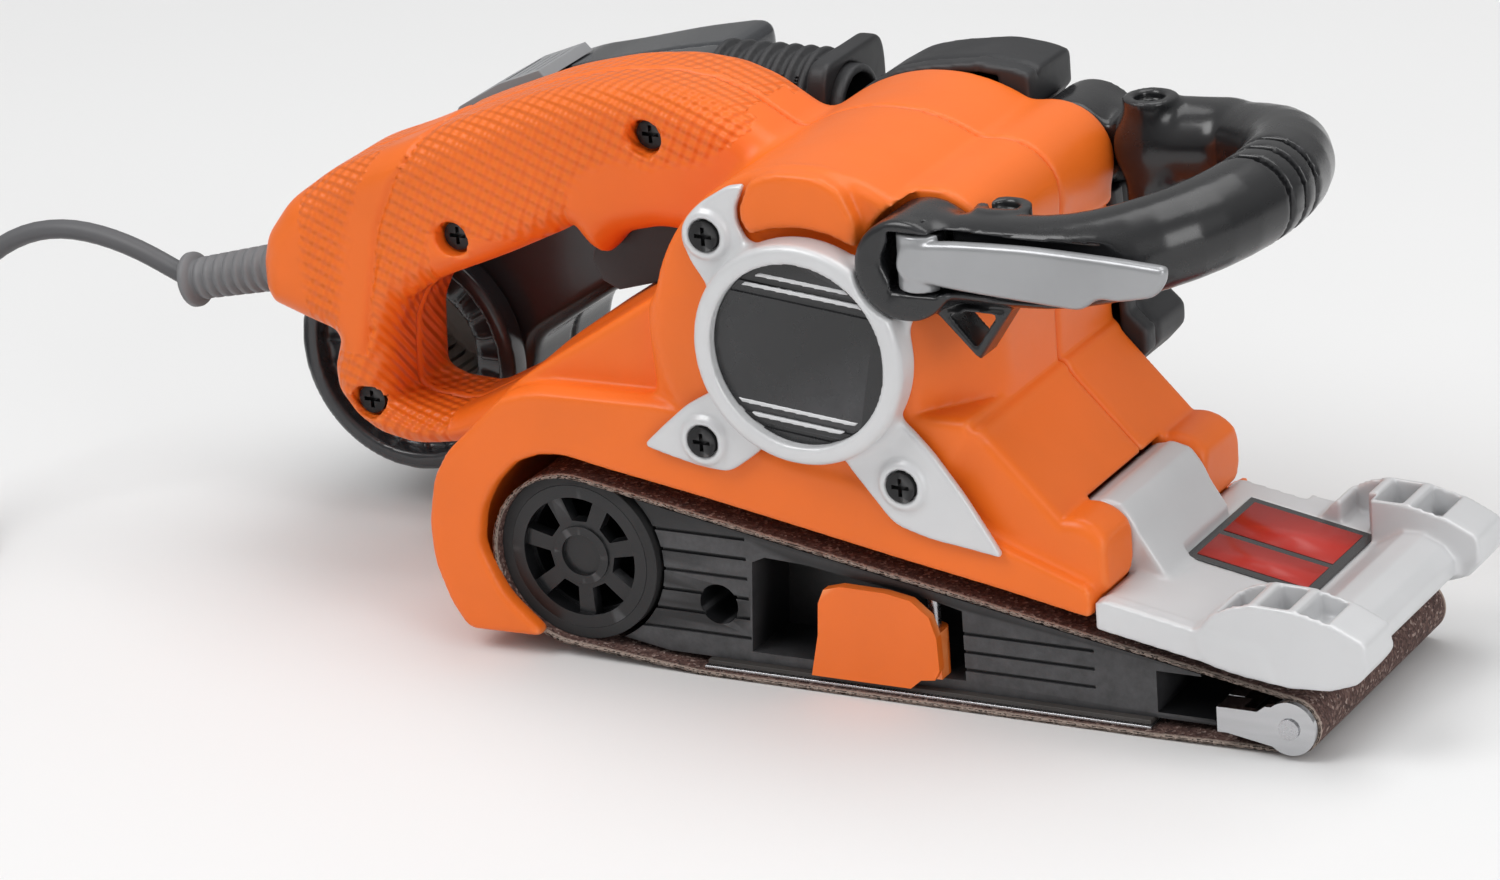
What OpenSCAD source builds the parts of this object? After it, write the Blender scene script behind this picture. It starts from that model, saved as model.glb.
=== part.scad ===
// Handheld belt sander, transverse motor, 75 mm belt.
// Frame: +X towards the nose, -Y is the side the sanding belt slides off,
// +Z up. Origin: centre of the sanding face on the work surface. Millimetres.

/* [Sanding belt] */
// Width of the sanding belt
belt_w = 75; // [72:0.5:76]
// Thickness of the sanding belt
belt_t = 1; // [0.8:0.1:1.2]
// Radius of the rubber covered drive roller
drive_r = 20.8; // [20:0.1:21]
// Radius of the front tension roller
front_r = 5.8; // [5.4:0.1:6]
// Half length of the flat platen
platen_half = 58; // [50:1:60]

/* [Drive] */
// Radius of the large drive pulley
big_pulley_r = 17; // [15:0.5:17]
// Radius of the motor pulley
small_pulley_r = 5; // [4.8:0.1:6]
// Thickness of the drive belt
drive_belt_t = 1.5; // [1:0.1:1.6]
// Radius of the motor's field core
stator_r = 33; // [32:0.1:33.2]

/* [Housing] */
// Outer radius of the motor housing
pod_r = 42.5; // [42:0.1:43]
// Y of the parting plane between the two housing halves
seam_y = 8; // [6:0.5:10]
// Near face of the main handle
grip_y0 = -9; // [-10:0.5:-8]
// Far face of the main handle
grip_y1 = 27; // [25:0.5:28]

/* [Front handle] */
// Radius of the front grip tube
grip_r = 10.8; // [9:0.1:11]
// Radius of the pivot bosses
boss_r = 12; // [11:0.1:12.2]

/* [Dust canister] */
// Radius of the round end of the canister
drum_r = 30.6; // [28:0.1:31]
// Inner radius of the pleated filter
filter_r = 17; // [14:0.5:18]

/* [Mains lead] */
// Diameter of the mains lead
cord_d = 5; // [4:0.1:5.5]

/* [Hidden] */
$fn = 96;

// axes in the XZ plane
rx = -90; rz = 24.75;          // drive roller
fx = 93.2; fz = 7.7;           // front roller
mx = -20; mz = 87;             // motor
hx = 41; hz = 41;              // nose cover hinge
px = 8; pz = 111;              // front handle pivot
dx = -174; dz = 43;            // canister drum

// ---- helpers
module slab(y0, y1) { translate([0, y1, 0]) rotate([90, 0, 0]) linear_extrude(y1 - y0) children(); }
module rod(x, z, r, y0, y1) { translate([x, y1, z]) rotate([90, 0, 0]) cylinder(r = r, h = y1 - y0); }
module ring(x, z, ro, ri, y0, y1) { difference() { rod(x, z, ro, y0, y1); rod(x, z, ri, y0 - 1, y1 + 1); } }
module xrod(x0, x1, y, z, r) { translate([x0, y, z]) rotate([0, 90, 0]) cylinder(r = r, h = x1 - x0); }
function arc(cx, cz, r, a0, a1, n) = [for (i = [0:n]) let (a = a0 + (a1 - a0) * i / n) [cx + r * cos(a), cz + r * sin(a)]];

// closed loop round the two rollers and over the flat platen, at offset o from the rollers' surfaces
function belt_loop(o) =
  let (r1 = drive_r + o, r2 = front_r + o, z0 = belt_t - o,
       dd = sqrt(pow(fx - rx, 2) + pow(fz - rz, 2)),
       up = 90 + atan2(fz - rz, fx - rx) - asin((r1 - r2) / dd),
       d1 = sqrt(pow(-platen_half - rx, 2) + pow(z0 - rz, 2)),
       low1 = 360 + atan2(z0 - rz, -platen_half - rx) - acos(r1 / d1),
       d2 = sqrt(pow(platen_half - fx, 2) + pow(z0 - fz, 2)),
       low2 = atan2(z0 - fz, platen_half - fx) + acos(r2 / d2))
  concat(arc(rx, rz, r1, up, low1, 60), [[-platen_half, z0], [platen_half, z0]],
         arc(fx, fz, r2, low2 > 180 ? low2 - 360 : low2, up, 40));

// loop round two pulleys
function pulley_loop(o) =
  let (r1 = big_pulley_r + o, r2 = small_pulley_r + o,
       dd = sqrt(pow(mx - rx, 2) + pow(mz - rz, 2)),
       b = atan2(mz - rz, mx - rx), t = acos((r1 - r2) / dd))
  concat(arc(rx, rz, r1, b + t, b + 360 - t, 48), arc(mx, mz, r2, b - t, b + t, 24));

// tube swept along a list of points
function unit(v) = v / norm(v);
function tube_frame(p, i) = let (n = len(p), t = unit(p[min(i + 1, n - 1)] - p[max(i - 1, 0)]),
    s = unit(cross(t, abs(t[1]) > 0.8 ? [0, 0, 1] : [0, 1, 0])), u = cross(s, t)) [s, u];
function tube_points(p, r, k) = [for (i = [0:len(p) - 1]) let (f = tube_frame(p, i)) for (j = [0:k - 1])
    p[i] + r * (cos(360 * j / k) * f[0] + sin(360 * j / k) * f[1])];
module tube(p, r, k) {
  n = len(p);
  polyhedron(tube_points(p, r, k), concat(
    [[for (j = [0:k - 1]) j]], [[for (j = [0:k - 1]) (n - 1) * k + k - 1 - j]],
    [for (i = [0:n - 2]) for (j = [0:k - 1]) [i * k + j, (i + 1) * k + j, (i + 1) * k + (j + 1) % k, i * k + (j + 1) % k]]),
    convexity = 8);
}
function catmull(a, b, c, d, t) = 0.5 * ((2 * b) + (c - a) * t + (2 * a - 5 * b + 4 * c - d) * t * t + (3 * b - a - 3 * c + d) * t * t * t);
function smooth(p, m) = concat([for (i = [0:len(p) - 2]) for (k = [0:m - 1])
    catmull(p[max(i - 1, 0)], p[i], p[i + 1], p[min(i + 2, len(p) - 1)], k / m)], [p[len(p) - 1]]);

// ---- outlines in the XZ plane
// chassis under the motor, from the rear fender to the front block, with the belt tunnel cut out
base_out = [[-118.6, 5], [-123, 11.5], [-126.6, 21.5], [-127, 31.7], [-124.7, 43], [-120.5, 50], [-105.5, 66], [-89.6, 76.5],
  [-62, 94], [-20, 112], [8, 124], [18, 113], [18, 85], [17.5, 72], [38, 51], [46.3, 42], [46.3, 28.5], [23, 33], [-2, 37.5],
  [-33, 43.5], [-53, 47], [-79, 51.2], [-88.3, 53], [-95, 52.6], [-102, 49.8], [-109, 44], [-114, 36], [-115.5, 27], [-113.5, 15], [-112, 6]];
base_in = [[-123.6, 31.5], [-121.6, 42], [-117.8, 48], [-104, 62.5], [-88, 73], [-62, 90.5], [-20, 108], [7, 119.5], [15, 111],
  [15, 85], [14.5, 71], [35, 50], [35, 33.8], [23, 36.2], [-2, 40.7], [-33, 46.7], [-53, 50.2], [-79, 54.4], [-88.5, 56.2],
  [-96.5, 55.8], [-104, 52.6], [-112, 45.5], [-117.2, 37], [-118.8, 27], [-118.4, 20], [-122.4, 22]];
base_low = [[-123.6, 31.5], [-121.6, 42], [-117.8, 47.6], [-112, 53.6], [-103, 61.6], [-95, 64.8], [-64, 65.4], [-40, 60], [15, 50], [35, 40],
  [35, 33.8], [23, 36.2], [-2, 40.7], [-33, 46.7], [-53, 50.2], [-79, 54.4], [-88.5, 56.2],
  [-96.5, 55.8], [-104, 52.6], [-112, 45.5], [-117.2, 37], [-118.8, 27], [-118.4, 20], [-122.4, 22]];
// what stands above the fender's shoulder on the near side
above_shoulder = [[-121, 50.6], [-113.6, 57], [-104.3, 66], [-95.4, 68.6], [-64, 69.2], [-64, 100], [-130, 100], [-130, 50]];
guard_plate = [[-97, 5.5], [-118.6, 5], [-123, 11.5], [-126.6, 21.5], [-127, 31.7], [-124.7, 43], [-120.5, 50], [-113.6, 56.5],
  [-104.3, 65.5], [-95.4, 68], [-60, 68.7], [-30, 58], [10, 52], [24, 44], [46.3, 36], [46.3, 28.5], [23.3, 33], [-1.8, 37.3],
  [-33, 43], [-53, 46.6], [-79, 50.8], [-88.3, 52.6], [-95, 52.2], [-102, 49.4], [-108, 43.2], [-112, 36], [-113.5, 27], [-108, 15]];
hood_lip = [[-32.5, 126.6], [-35.2, 120], [-35, 116.8], [-33, 114], [-27, 115.9], [-20, 116.6], [-13, 115.9], [-6, 113], [-5.6, 119], [-9, 126.4], [-14, 129], [-20, 129.5], [-27, 129]];
// main handle with its hand opening
grip_out = [[-190, 79.5], [-188.2, 86], [-181.5, 94.7], [-167, 105], [-150.7, 111.2], [-133.4, 119.2], [-110.8, 128], [-93.3, 132.3],
  [-78.3, 133.8], [-66.8, 132.8], [-57.7, 129.8], [-44.7, 122], [-44, 100], [-62, 78], [-75, 82], [-98, 68], [-112, 57], [-124, 40], [-140.6, 36.4],
  [-150.8, 34.9], [-160.7, 36.8], [-167.1, 40.8], [-172, 47.5], [-172.5, 53.6], [-169.8, 62], [-178, 64.5], [-188, 68], [-190, 72]];
grip_hole = [[-156, 46.5], [-151, 44.5], [-140, 44], [-125, 52], [-97.7, 71], [-74, 86], [-66, 92], [-69, 97.5], [-78, 98.1], [-87.8, 95.7], [-93.6, 89.6], [-97.6, 91.6],
  [-101.6, 96.3], [-105, 94.4], [-122, 86.4], [-140, 79], [-151, 72], [-155, 64]];
grip_in = [[-187, 79.5], [-185, 85], [-179.5, 92.3], [-165.5, 102.2], [-149.6, 108.2], [-132.2, 116.2], [-109.8, 125], [-92.8, 129.2],
  [-78.3, 130.7], [-67.4, 129.7], [-62, 128], [-62, 101], [-78, 101.2], [-89.5, 98.6], [-93.4, 94.2], [-100, 99.6], [-106.4, 97.2],
  [-123.4, 89.3], [-141.4, 81.8], [-153.5, 74], [-158, 65], [-159, 46.6], [-152, 41.4], [-140, 40.9], [-141, 39.6], [-150.6, 38], [-159.6, 39.6], [-164.8, 43],
  [-169, 48.6], [-169.4, 53.6], [-166, 64.5], [-177, 67.5], [-185.6, 70.6], [-187, 73]];
trigger_slot = [[-103, 80], [-67, 80], [-67, 104], [-98.5, 104], [-102.5, 92]];
// wall behind the sanding belt
far_wall_pts = [[-97, 4], [-118.6, 5], [-123, 11.5], [-126.6, 21.5], [-127, 31.7], [-124.7, 43], [-120.5, 50], [-105.5, 66], [-89.6, 76.5],
  [-62, 94], [-50, 60], [0, 46], [30, 45], [44, 40], [60, 26], [85, 16.5], [96, 14.6], [101.3, 11.6], [102.4, 8], [99.4, 3.6], [94, 2], [60, 2], [-58, 2]];
// cover over the drive belt
cover_out = [[-104.4, 40.7], [-119, 52], [-98, 72.5], [-86, 79], [-86, 92], [-62, 94], [-54, 98], [-54, 112], [-49, 118], [-43.7, 122.5], [-36, 127], [-28, 129], [-14, 131], [-4, 130], [6, 126.5],
  [14, 124], [19, 110], [20, 97], [22, 72], [26.5, 68], [26.5, 63], [21, 57], [4, 51], [-40, 38], [-75.6, 8.8]];
cover_in = [[-100, 41], [-116, 52.4], [-96.4, 70.4], [-83.4, 77.6], [-83.4, 89.5], [-61.4, 91.5], [-51.5, 97], [-51.5, 111], [-47, 116.5], [-42, 120.4], [-35, 124.4], [-27.5, 126.4], [-14, 128.4], [-9, 127.8],
  [-9, 104], [2, 94], [17.4, 94], [19.4, 71], [18.6, 59], [3, 53.8], [-41.5, 41], [-74, 13]];

// ---- housing
module grip_half(y0, y1) {
  difference() {
    slab(y0, y1) difference() { polygon(grip_out); polygon(grip_hole); }
    slab(grip_y0 + 3, grip_y1 - 3) polygon(grip_in);
    slab(1.5, 16.5) polygon(trigger_slot);
    translate([-184, 9, 74.6]) rotate([0, -103.2, 0]) translate([0, 0, -4]) cylinder(r = 5.75, h = 12);
    rod(-88, 112, 5.1, 20, 30);
  }
}
screw_xz = [[-78.4, 121.5], [-133.5, 91], [-162, 46]];
shield_xz = [[-44, 113], [-48.5, 62.4], [2.2, 57.2]];
pod_clip = [[18.2, 71], [18.2, 97], [24, 97], [24, 69]];
module housing_near() {
  color([0.93, 0.42, 0.12]) difference() {
    union() {
      difference() {
        union() {
          difference() {
            slab(-38, seam_y) polygon(base_out);
            slab(-30, seam_y + 1) difference() { polygon(base_in); translate([2, 70]) square([20, 60]); }
            slab(-15, seam_y + 1) polygon(base_in);
            slab(-35, seam_y + 1) polygon(base_low);
            slab(-39, -33) polygon(above_shoulder);
          }
          slab(-41, -38) polygon(guard_plate);
          slab(-44, -40) polygon(hood_lip);
          rod(mx, mz, pod_r, -40, seam_y);
        }
        slab(-46, seam_y + 1) polygon(pod_clip);
        translate([0, 0, 73]) linear_extrude(39) polygon([[4.5, -46], [4.5, -38.6], [18.2, -20], [40, -20], [40, -46]]);
      }
      rod(px, pz, 13, -30, seam_y);
      rod(hx, hz, 10, -38, -22.2);
      grip_half(grip_y0, seam_y);
      for (s = screw_xz) rod(s[0], s[1], 4, grip_y0 + 4, seam_y);
      intersection() { for (s = screw_xz) rod(s[0], s[1], 5.8, grip_y0 + 1, grip_y0 + 8); slab(grip_y0, seam_y) difference() { polygon(grip_out); polygon(grip_hole); } }
    }
    rod(mx, mz, stator_r + 0.15, -19.6, seam_y + 1);
    rod(mx, mz, 26, -30, -19);
    rod(mx, mz, 23, -45, -29);
    rod(px, pz, boss_r + 1.3, -46, -30);
    rod(px, pz, 3.05, -31, seam_y + 1);
    rod(hx, hz, 2, -36, -22);
    rod(hx, hz, 10, -22.2, seam_y + 1);
    for (s = screw_xz) { rod(s[0], s[1], 2, -10, seam_y + 1); rod(s[0], s[1], 4.4, -10, grip_y0 + 6); }
    for (s = shield_xz) rod(s[0], s[1], 2, -42, -33);
  }
}
module housing_far() {
  color([0.9, 0.4, 0.12]) difference() {
    union() {
      difference() {
        union() {
          difference() {
            slab(seam_y, 38) polygon(base_out);
            slab(seam_y - 1, 35.5) polygon(base_in);
          }
          rod(mx, mz, pod_r, seam_y, 38);
        }
        slab(seam_y - 1, 39) polygon(pod_clip);
      }
      rod(px, pz, 13, seam_y, 38);
      rod(hx, hz, 10, 18.2, 38);
      difference() { slab(38, 43) polygon(far_wall_pts); rod(mx, mz, 44, 37, 44); rod(hx, hz, 11, 37, 44); slab(37, 44) polygon([[40, 60], [44, 30], [80, 60]]); }
      grip_half(seam_y, grip_y1);
      for (s = screw_xz) rod(s[0], s[1], 4, seam_y, grip_y1 - 1);
    }
    rod(mx, mz, stator_r + 0.15, seam_y - 1, 39);
    rod(px, pz, 3.05, seam_y - 1, 39);
    rod(hx, hz, 2, 18, 36);
    rod(hx, hz, 10, seam_y - 1, 18.2);
    for (s = screw_xz) rod(s[0], s[1], 2, seam_y - 1, grip_y1 - 4);
    rod(rx, rz, 13.05, 37, 44);
    rod(62, 16, 2.6, 37, 44);
    for (s = cover_xz) rod(s[0], s[1], 2, 33, 44);
  }
}
module screw_y(x, z, y, len, hr = 3.6, r = 1.95) {
  difference() {
    union() { rod(x, z, hr, y, y + 2.4); rod(x, z, r, y + 2.4, y + len); }
    translate([x - 2.2, y - 0.1, z - 0.5]) cube([4.4, 1.4, 1]);
    translate([x - 0.5, y - 0.1, z - 2.2]) cube([1, 1.4, 4.4]);
  }
}
module housing_screws() { color([0.12, 0.12, 0.13]) for (s = screw_xz) screw_y(s[0], s[1], grip_y0 + 3.6, 25); }
module drive_cover() {
  color([0.16, 0.16, 0.17]) difference() {
    union() {
      difference() {
        slab(43.2, 62) union() { polygon(cover_out); translate([rx, rz]) circle(r = 21.5); }
        slab(42, 59.4) union() { polygon(cover_in); translate([rx, rz]) circle(r = 19.3); translate([rx, rz]) circle(r = 18.6); }
      }
      difference() {
        slab(38.2, 43.2) polygon(cover_out);
        slab(37, 44) polygon(cover_in);
        slab(37, 43.2) polygon(far_wall_pts);
        translate([-140, 37, 0]) cube([79, 6.2, 96]);
        translate([-70, 37, 0]) cube([64, 6.2, 44]);
      }
      slab(43.2, 45.2) polygon([[-104.4, 40.7], [-119, 52], [-98, 72.5], [-86, 79], [-86, 92], [-62, 94], [-60, 90]]);
      difference() { xrod(-76, -52, 51, 112.5, 10.5); slab(59.4, 62) polygon(cover_in); }
      for (s = cover_xz) rod(s[0], s[1], 3.7, 43.2, 61);
    }
    xrod(-77, -50, 51, 112.5, 8.4);
    rod(px, pz, boss_r + 0.6, 37, 63);
    slab(37, 63) polygon([[-0.8, 102.2], [30, 102.2], [30, 135], [-0.8, 135]]);
    for (s = cover_xz) { rod(s[0], s[1], 2, 37, 63); rod(s[0], s[1], 2.95, 60, 63); }
  }
}
cover_xz = [[-45.5, 116], [14, 64], [-40, 46], [-80, 60]];
module cover_screws() { color([0.12, 0.12, 0.13]) for (s = cover_xz)
  difference() { union() { rod(s[0], s[1], 2.8, 60, 62.2); rod(s[0], s[1], 1.95, 36, 60); }
    translate([s[0] - 1.6, 61.2, s[1] - 0.4]) cube([3.2, 2, 0.8]); translate([s[0] - 0.4, 61.2, s[1] - 1.6]) cube([0.8, 2, 3.2]); } }

// ---- end shield on the near side of the motor
leg_ul = [[-33.8, 125.7], [-38.2, 124.9], [-46, 120], [-50.4, 114], [-50.8, 110.6], [-49, 106], [-43.5, 98], [-36, 92], [-26, 104], [-32, 109.8], [-34.6, 112.6], [-36.4, 116.4], [-36.4, 120]];
leg_ll = [[-65.3, 59], [-59.6, 64.5], [-53, 70.4], [-46, 74.5], [-36, 80], [-28, 68], [-34.9, 60.7], [-42.9, 54.8], [-51.3, 55.6], [-59.2, 57.4]];
leg_lr = [[-13, 64], [-11.8, 60], [-1, 47], [8, 44.4], [17.6, 43.2], [26, 41.9], [23.4, 46.2], [17, 56], [9.8, 65.4], [4, 71.4], [-4, 76]];
leg_ur = [[-10, 107], [-3.3, 112.2], [7.6, 98], [2.6, 93.2], [-6, 92]];
module end_shield() {
  color([0.75, 0.76, 0.77]) difference() {
    union() {
      slab(-43.6, -41.1) { polygon(leg_ul); polygon(leg_ll); polygon(leg_lr); polygon(leg_ur); }
      rod(mx, mz + 1, 26.5, -50, -41.1);
      rod(mx, mz, 14, -41.2, -33);
      for (s = shield_xz) rod(s[0], s[1], 5.6, -45, -41.1);
    }
    rod(mx, mz + 1, 22, -51, -44.6);
    rod(mx, mz, 11, -41.1, -32);
    rod(px, pz, boss_r + 0.5, -46, -41);
    for (s = shield_xz) { rod(s[0], s[1], 2, -46, -41); rod(s[0], s[1], 3.8, -46, -43); }
  }
}
module end_shield_badge() {
  color([0.15, 0.15, 0.16]) difference() {
    rod(mx, mz + 1, 21.8, -47.4, -44.7);
    for (z = [-17.5, -14.5, 14.5, 17.5]) translate([mx - 25, -47.9, mz + 1 + z]) rotate([0, 6, 0]) cube([50, 1, 1.2]);
  }
}
module end_shield_screws() { color([0.12, 0.12, 0.13]) for (s = shield_xz) screw_y(s[0], s[1], -45.4, 11); }

// ---- motor
module stator_core() { color([0.45, 0.45, 0.47]) difference() { rod(mx, mz, stator_r, -10, 26); rod(mx, mz, 22, -11, 27);
  for (a = [0, 180]) translate([mx, 0, mz]) rotate([0, a, 0]) translate([20, -11, -12]) cube([10, 38, 24]); } }
module field_coils() { color([0.72, 0.4, 0.2]) { ring(mx, mz, 31.5, 23.5, -18.5, -10); ring(mx, mz, 31.5, 23.5, 26, 30.4); } }
module armature_core() { color([0.4, 0.4, 0.42]) difference() { rod(mx, mz, 21.2, -10, 25); rod(mx, mz, 4, -11, 26);
  for (a = [0:30:330]) translate([mx, 0, mz]) rotate([0, a, 0]) translate([17, -11, -1.2]) cube([5, 37, 2.4]); } }
module armature_coils() { color([0.7, 0.38, 0.18]) { ring(mx, mz, 18, 4, -17, -10); ring(mx, mz, 18, 4, 25, 29); } }
module commutator() { color([0.75, 0.45, 0.25]) difference() { ring(mx, mz, 11, 4, -31, -19);
  for (a = [0:15:345]) translate([mx, 0, mz]) rotate([0, a, 0]) translate([10.2, -32, -0.25]) cube([2, 10, 0.5]); } }
module motor_shaft() { color([0.62, 0.62, 0.65]) rod(mx, mz, 4, -40.6, 58.4); }
module cooling_fan() { color([0.2, 0.2, 0.22]) { ring(mx, mz, 31.5, 4, 31.2, 32.4);
  for (a = [0:24:336]) translate([mx, 0, mz]) rotate([0, a, 0]) translate([14, 32.4, -0.7]) cube([17, 3.4, 1.4]); } }
module bearing(x, z, y0) { ring(x, z, 11, 8.8, y0, y0 + 7); ring(x, z, 6, 4.05, y0, y0 + 7); ring(x, z, 8.8, 6, y0 + 0.8, y0 + 6.2); }
module motor_bearings() { color([0.7, 0.7, 0.72]) { bearing(mx, mz, -41); bearing(mx, mz, 40); } }
module motor_end_plate() { color([0.65, 0.66, 0.68]) difference() { union() { rod(mx, mz, 32.9, 36.3, 38.1); rod(mx, mz, 14, 38, 47.6); }
  rod(mx, mz, 6.5, 36, 41); rod(mx, mz, 11, 40, 48);
  for (a = [0:45:315]) rod(mx + 23 * cos(a), mz + 23 * sin(a), 6, 36, 41); } }
module brush_holders() { color([0.72, 0.55, 0.25]) for (s = [-1, 1]) difference() {
  translate([mx + s * 17.5 - 4.5, -29.9, mz - 4.5]) cube([9, 9, 9]);
  translate([mx + s * 17.5 - 5, -28.4, mz - 3]) cube([10, 6, 6]); } }
module carbon_brushes() { color([0.15, 0.15, 0.16]) for (s = [-1, 1]) translate([mx + s * 16.7 - 5.2, -28.3, mz - 2.9]) cube([10.4, 5.8, 5.8]); }
module motor_pulley() { color([0.6, 0.6, 0.62]) { ring(mx, mz, small_pulley_r - 0.05, 4, 49, 57.6); ring(mx, mz, 7.6, 4, 48, 49); } }
module drive_belt() { color([0.1, 0.1, 0.1]) difference() { slab(49.6, 57) polygon(pulley_loop(drive_belt_t)); slab(49, 58) polygon(pulley_loop(0.05)); } }
module drive_pulley() { color([0.2, 0.2, 0.22]) difference() { rod(rx, rz, big_pulley_r, 49, 57.6); rod(rx, rz, 4, 48, 59); ring(rx, rz, 14.5, 7.5, 53, 58);
  for (a = [0:60:300]) rod(rx + 11 * cos(a), rz + 11 * sin(a), 2.4, 48, 54); } }

// ---- drive roller
module roller_shaft() { color([0.62, 0.62, 0.65]) rod(rx, rz, 4, -30, 58.4); }
module roller_bearings() { color([0.7, 0.7, 0.72]) { bearing(rx, rz, 19); bearing(rx, rz, 38); } }
module roller_bearing_carrier() { color([0.65, 0.66, 0.68]) { ring(rx, rz, 13, 11, 18, 46); ring(rx, rz, 18, 12.9, 43.05, 46); } }
module drive_roller_hub() {
  color([0.2, 0.2, 0.21]) difference() {
    union() { ring(rx, rz, 18, 14.9, -34.5, 34.5); rod(rx, rz, 15, -33, -29.5); rod(rx, rz, 7.2, -33.6, -8); }
    rod(rx, rz, 5.2, -34, -32.4);
    rod(rx, rz, 4, -30, -7);
    for (a = [0:6]) translate([rx, 0, rz]) rotate([0, a * 360 / 7 + 12, 0]) slab(-34, -29) polygon([[8.4, -2], [15.2, -4.9], [15.8, 0], [15.2, 4.9], [8.4, 2]]);
  }
}
module drive_roller_tyre() { color([0.12, 0.12, 0.13]) ring(rx, rz, drive_r, 18, -34.5, 34.5); }
module sanding_belt() { color([0.42, 0.3, 0.26]) difference() {
  slab(-belt_w / 2, belt_w / 2) polygon(belt_loop(belt_t)); slab(-belt_w, belt_w) polygon(belt_loop(0.06)); } }

// ---- platen and its frame
frame_pts = [[-84, 5.6], [-68, 3.05], [78, 3.05], [78, 3.9], [72, 4.1], [71, 8], [69, 15.2], [-66, 39], [-70, 39.8], [-76, 40.8]];
lever_pocket = [[-46, 5.6], [-44.4, 28.4], [-41, 30], [-30, 29.4], [2.6, 24.6], [9.6, 23], [9.6, 5.6]];
module platen_frame() {
  color([0.19, 0.19, 0.2]) difference() {
    slab(-33, 38) polygon(frame_pts);
    rod(rx, rz, 22, -34, 39);
    slab(-34, -14) polygon(lever_pocket);
    rod(-54, 16.6, 5, -34, -18);
    slab(-5.8, 36) polygon([[-63, 6], [14, 6], [14, 19], [-60, 32.4]]);
    xrod(13, 72, 0, 9.2, 3.1);
    xrod(34, 72, 0, 9.2, 5.6);
    translate([58, -34, 4.4]) cube([15, 71, 10.2]);
    translate([1.5, -31, 3]) cylinder(r = 1.5, h = 24);
    for (z = [8.5, 13.5, 18.5, 23.5, 28.5, 33.5]) translate([-84, -34, z]) cube([38, 1.8, 0.9]);
    for (z = [8, 12.5, 17]) translate([9.6, -34, z]) cube([33, 1.8, 0.9]);
  }
}
module platen_pad() { color([0.55, 0.42, 0.3]) translate([-57, -35, 1.85]) cube([114, 70, 1.15]); }
module platen_plate() { color([0.72, 0.73, 0.75]) translate([-57.5, -36, 1.05]) cube([115, 72, 0.8]); }

// ---- front roller and belt tension
module front_roller() { color([0.6, 0.6, 0.62]) ring(fx, fz, front_r, 2.55, -34.5, 34.5); }
module front_axle() { color([0.66, 0.66, 0.68]) rod(fx, fz, 2.5, -40.2, 36.9); }
module tension_yoke() {
  color([0.82, 0.83, 0.85]) difference() {
    union() {
      rod(fx, fz, 6.4, -39.6, -37.7);
      slab(-39.6, -37.7) polygon([[78, 4.8], [92, 2.4], [92, 12.6], [87.4, 12.4], [85.4, 10.9], [78, 10.9]]);
      translate([75.6, -39.6, 4.8]) cube([6, 7, 6.1]);
      translate([75.6, -32.6, 6]) cube([4, 67, 5]);
      slab(35, 37) union() { translate([fx, fz]) circle(r = 5); polygon([[75.6, 5], [92, 3.4], [92, 12], [75.6, 11]]); }
      translate([75.6, 34.2, 6]) cube([4, 2.8, 5]);
      xrod(26, 76, 0, 9.2, 3);
      xrod(65, 67, 0, 9.2, 5);
    }
    rod(fx, fz, 2.5, -41, 38);
  }
}
module tension_spring() { color([0.7, 0.7, 0.72]) for (i = [0:7]) translate([35.5 + i * 3.05, 0, 9.2]) rotate([0, 90, 0])
  rotate_extrude() translate([4.3, 0]) circle(r = 0.8, $fn = 24); }
lever_pts = [[-28.5, 3.6], [-26.2, 14], [-25.6, 22], [-24, 25.6], [-19.5, 26.9], [-8, 26.7], [-1.5, 25.6], [3, 22], [4.6, 17], [4.9, 9], [3.6, 6.5], [0, 6], [-2.8, 3.6]];
module tension_lever() {
  color([0.93, 0.42, 0.12]) difference() {
    union() {
      slab(-37, -34.4) polygon(lever_pts);
      translate([1.5, -31, 6]) cylinder(r = 3, h = 11.5);
      translate([-1.5, -35, 6]) cube([6, 3.6, 11.5]);
      translate([-12, -35, 10]) cube([11, 4, 4]);
    }
    translate([1.5, -31, 5]) cylinder(r = 1.55, h = 14);
  }
}
module tension_lever_pin() { color([0.66, 0.66, 0.68]) translate([1.5, -31, 3.3]) cylinder(r = 1.5, h = 23); }
module tracking_knob() { color([0.16, 0.16, 0.17]) union() { rod(62, 16, 2.5, 38.6, 43.3);
  difference() { rod(62, 16, 8, 43.3, 52); for (a = [0:36:324]) rod(62 + 8.6 * cos(a), 16 + 8.6 * sin(a), 1.4, 44.5, 53); } } }

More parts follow.
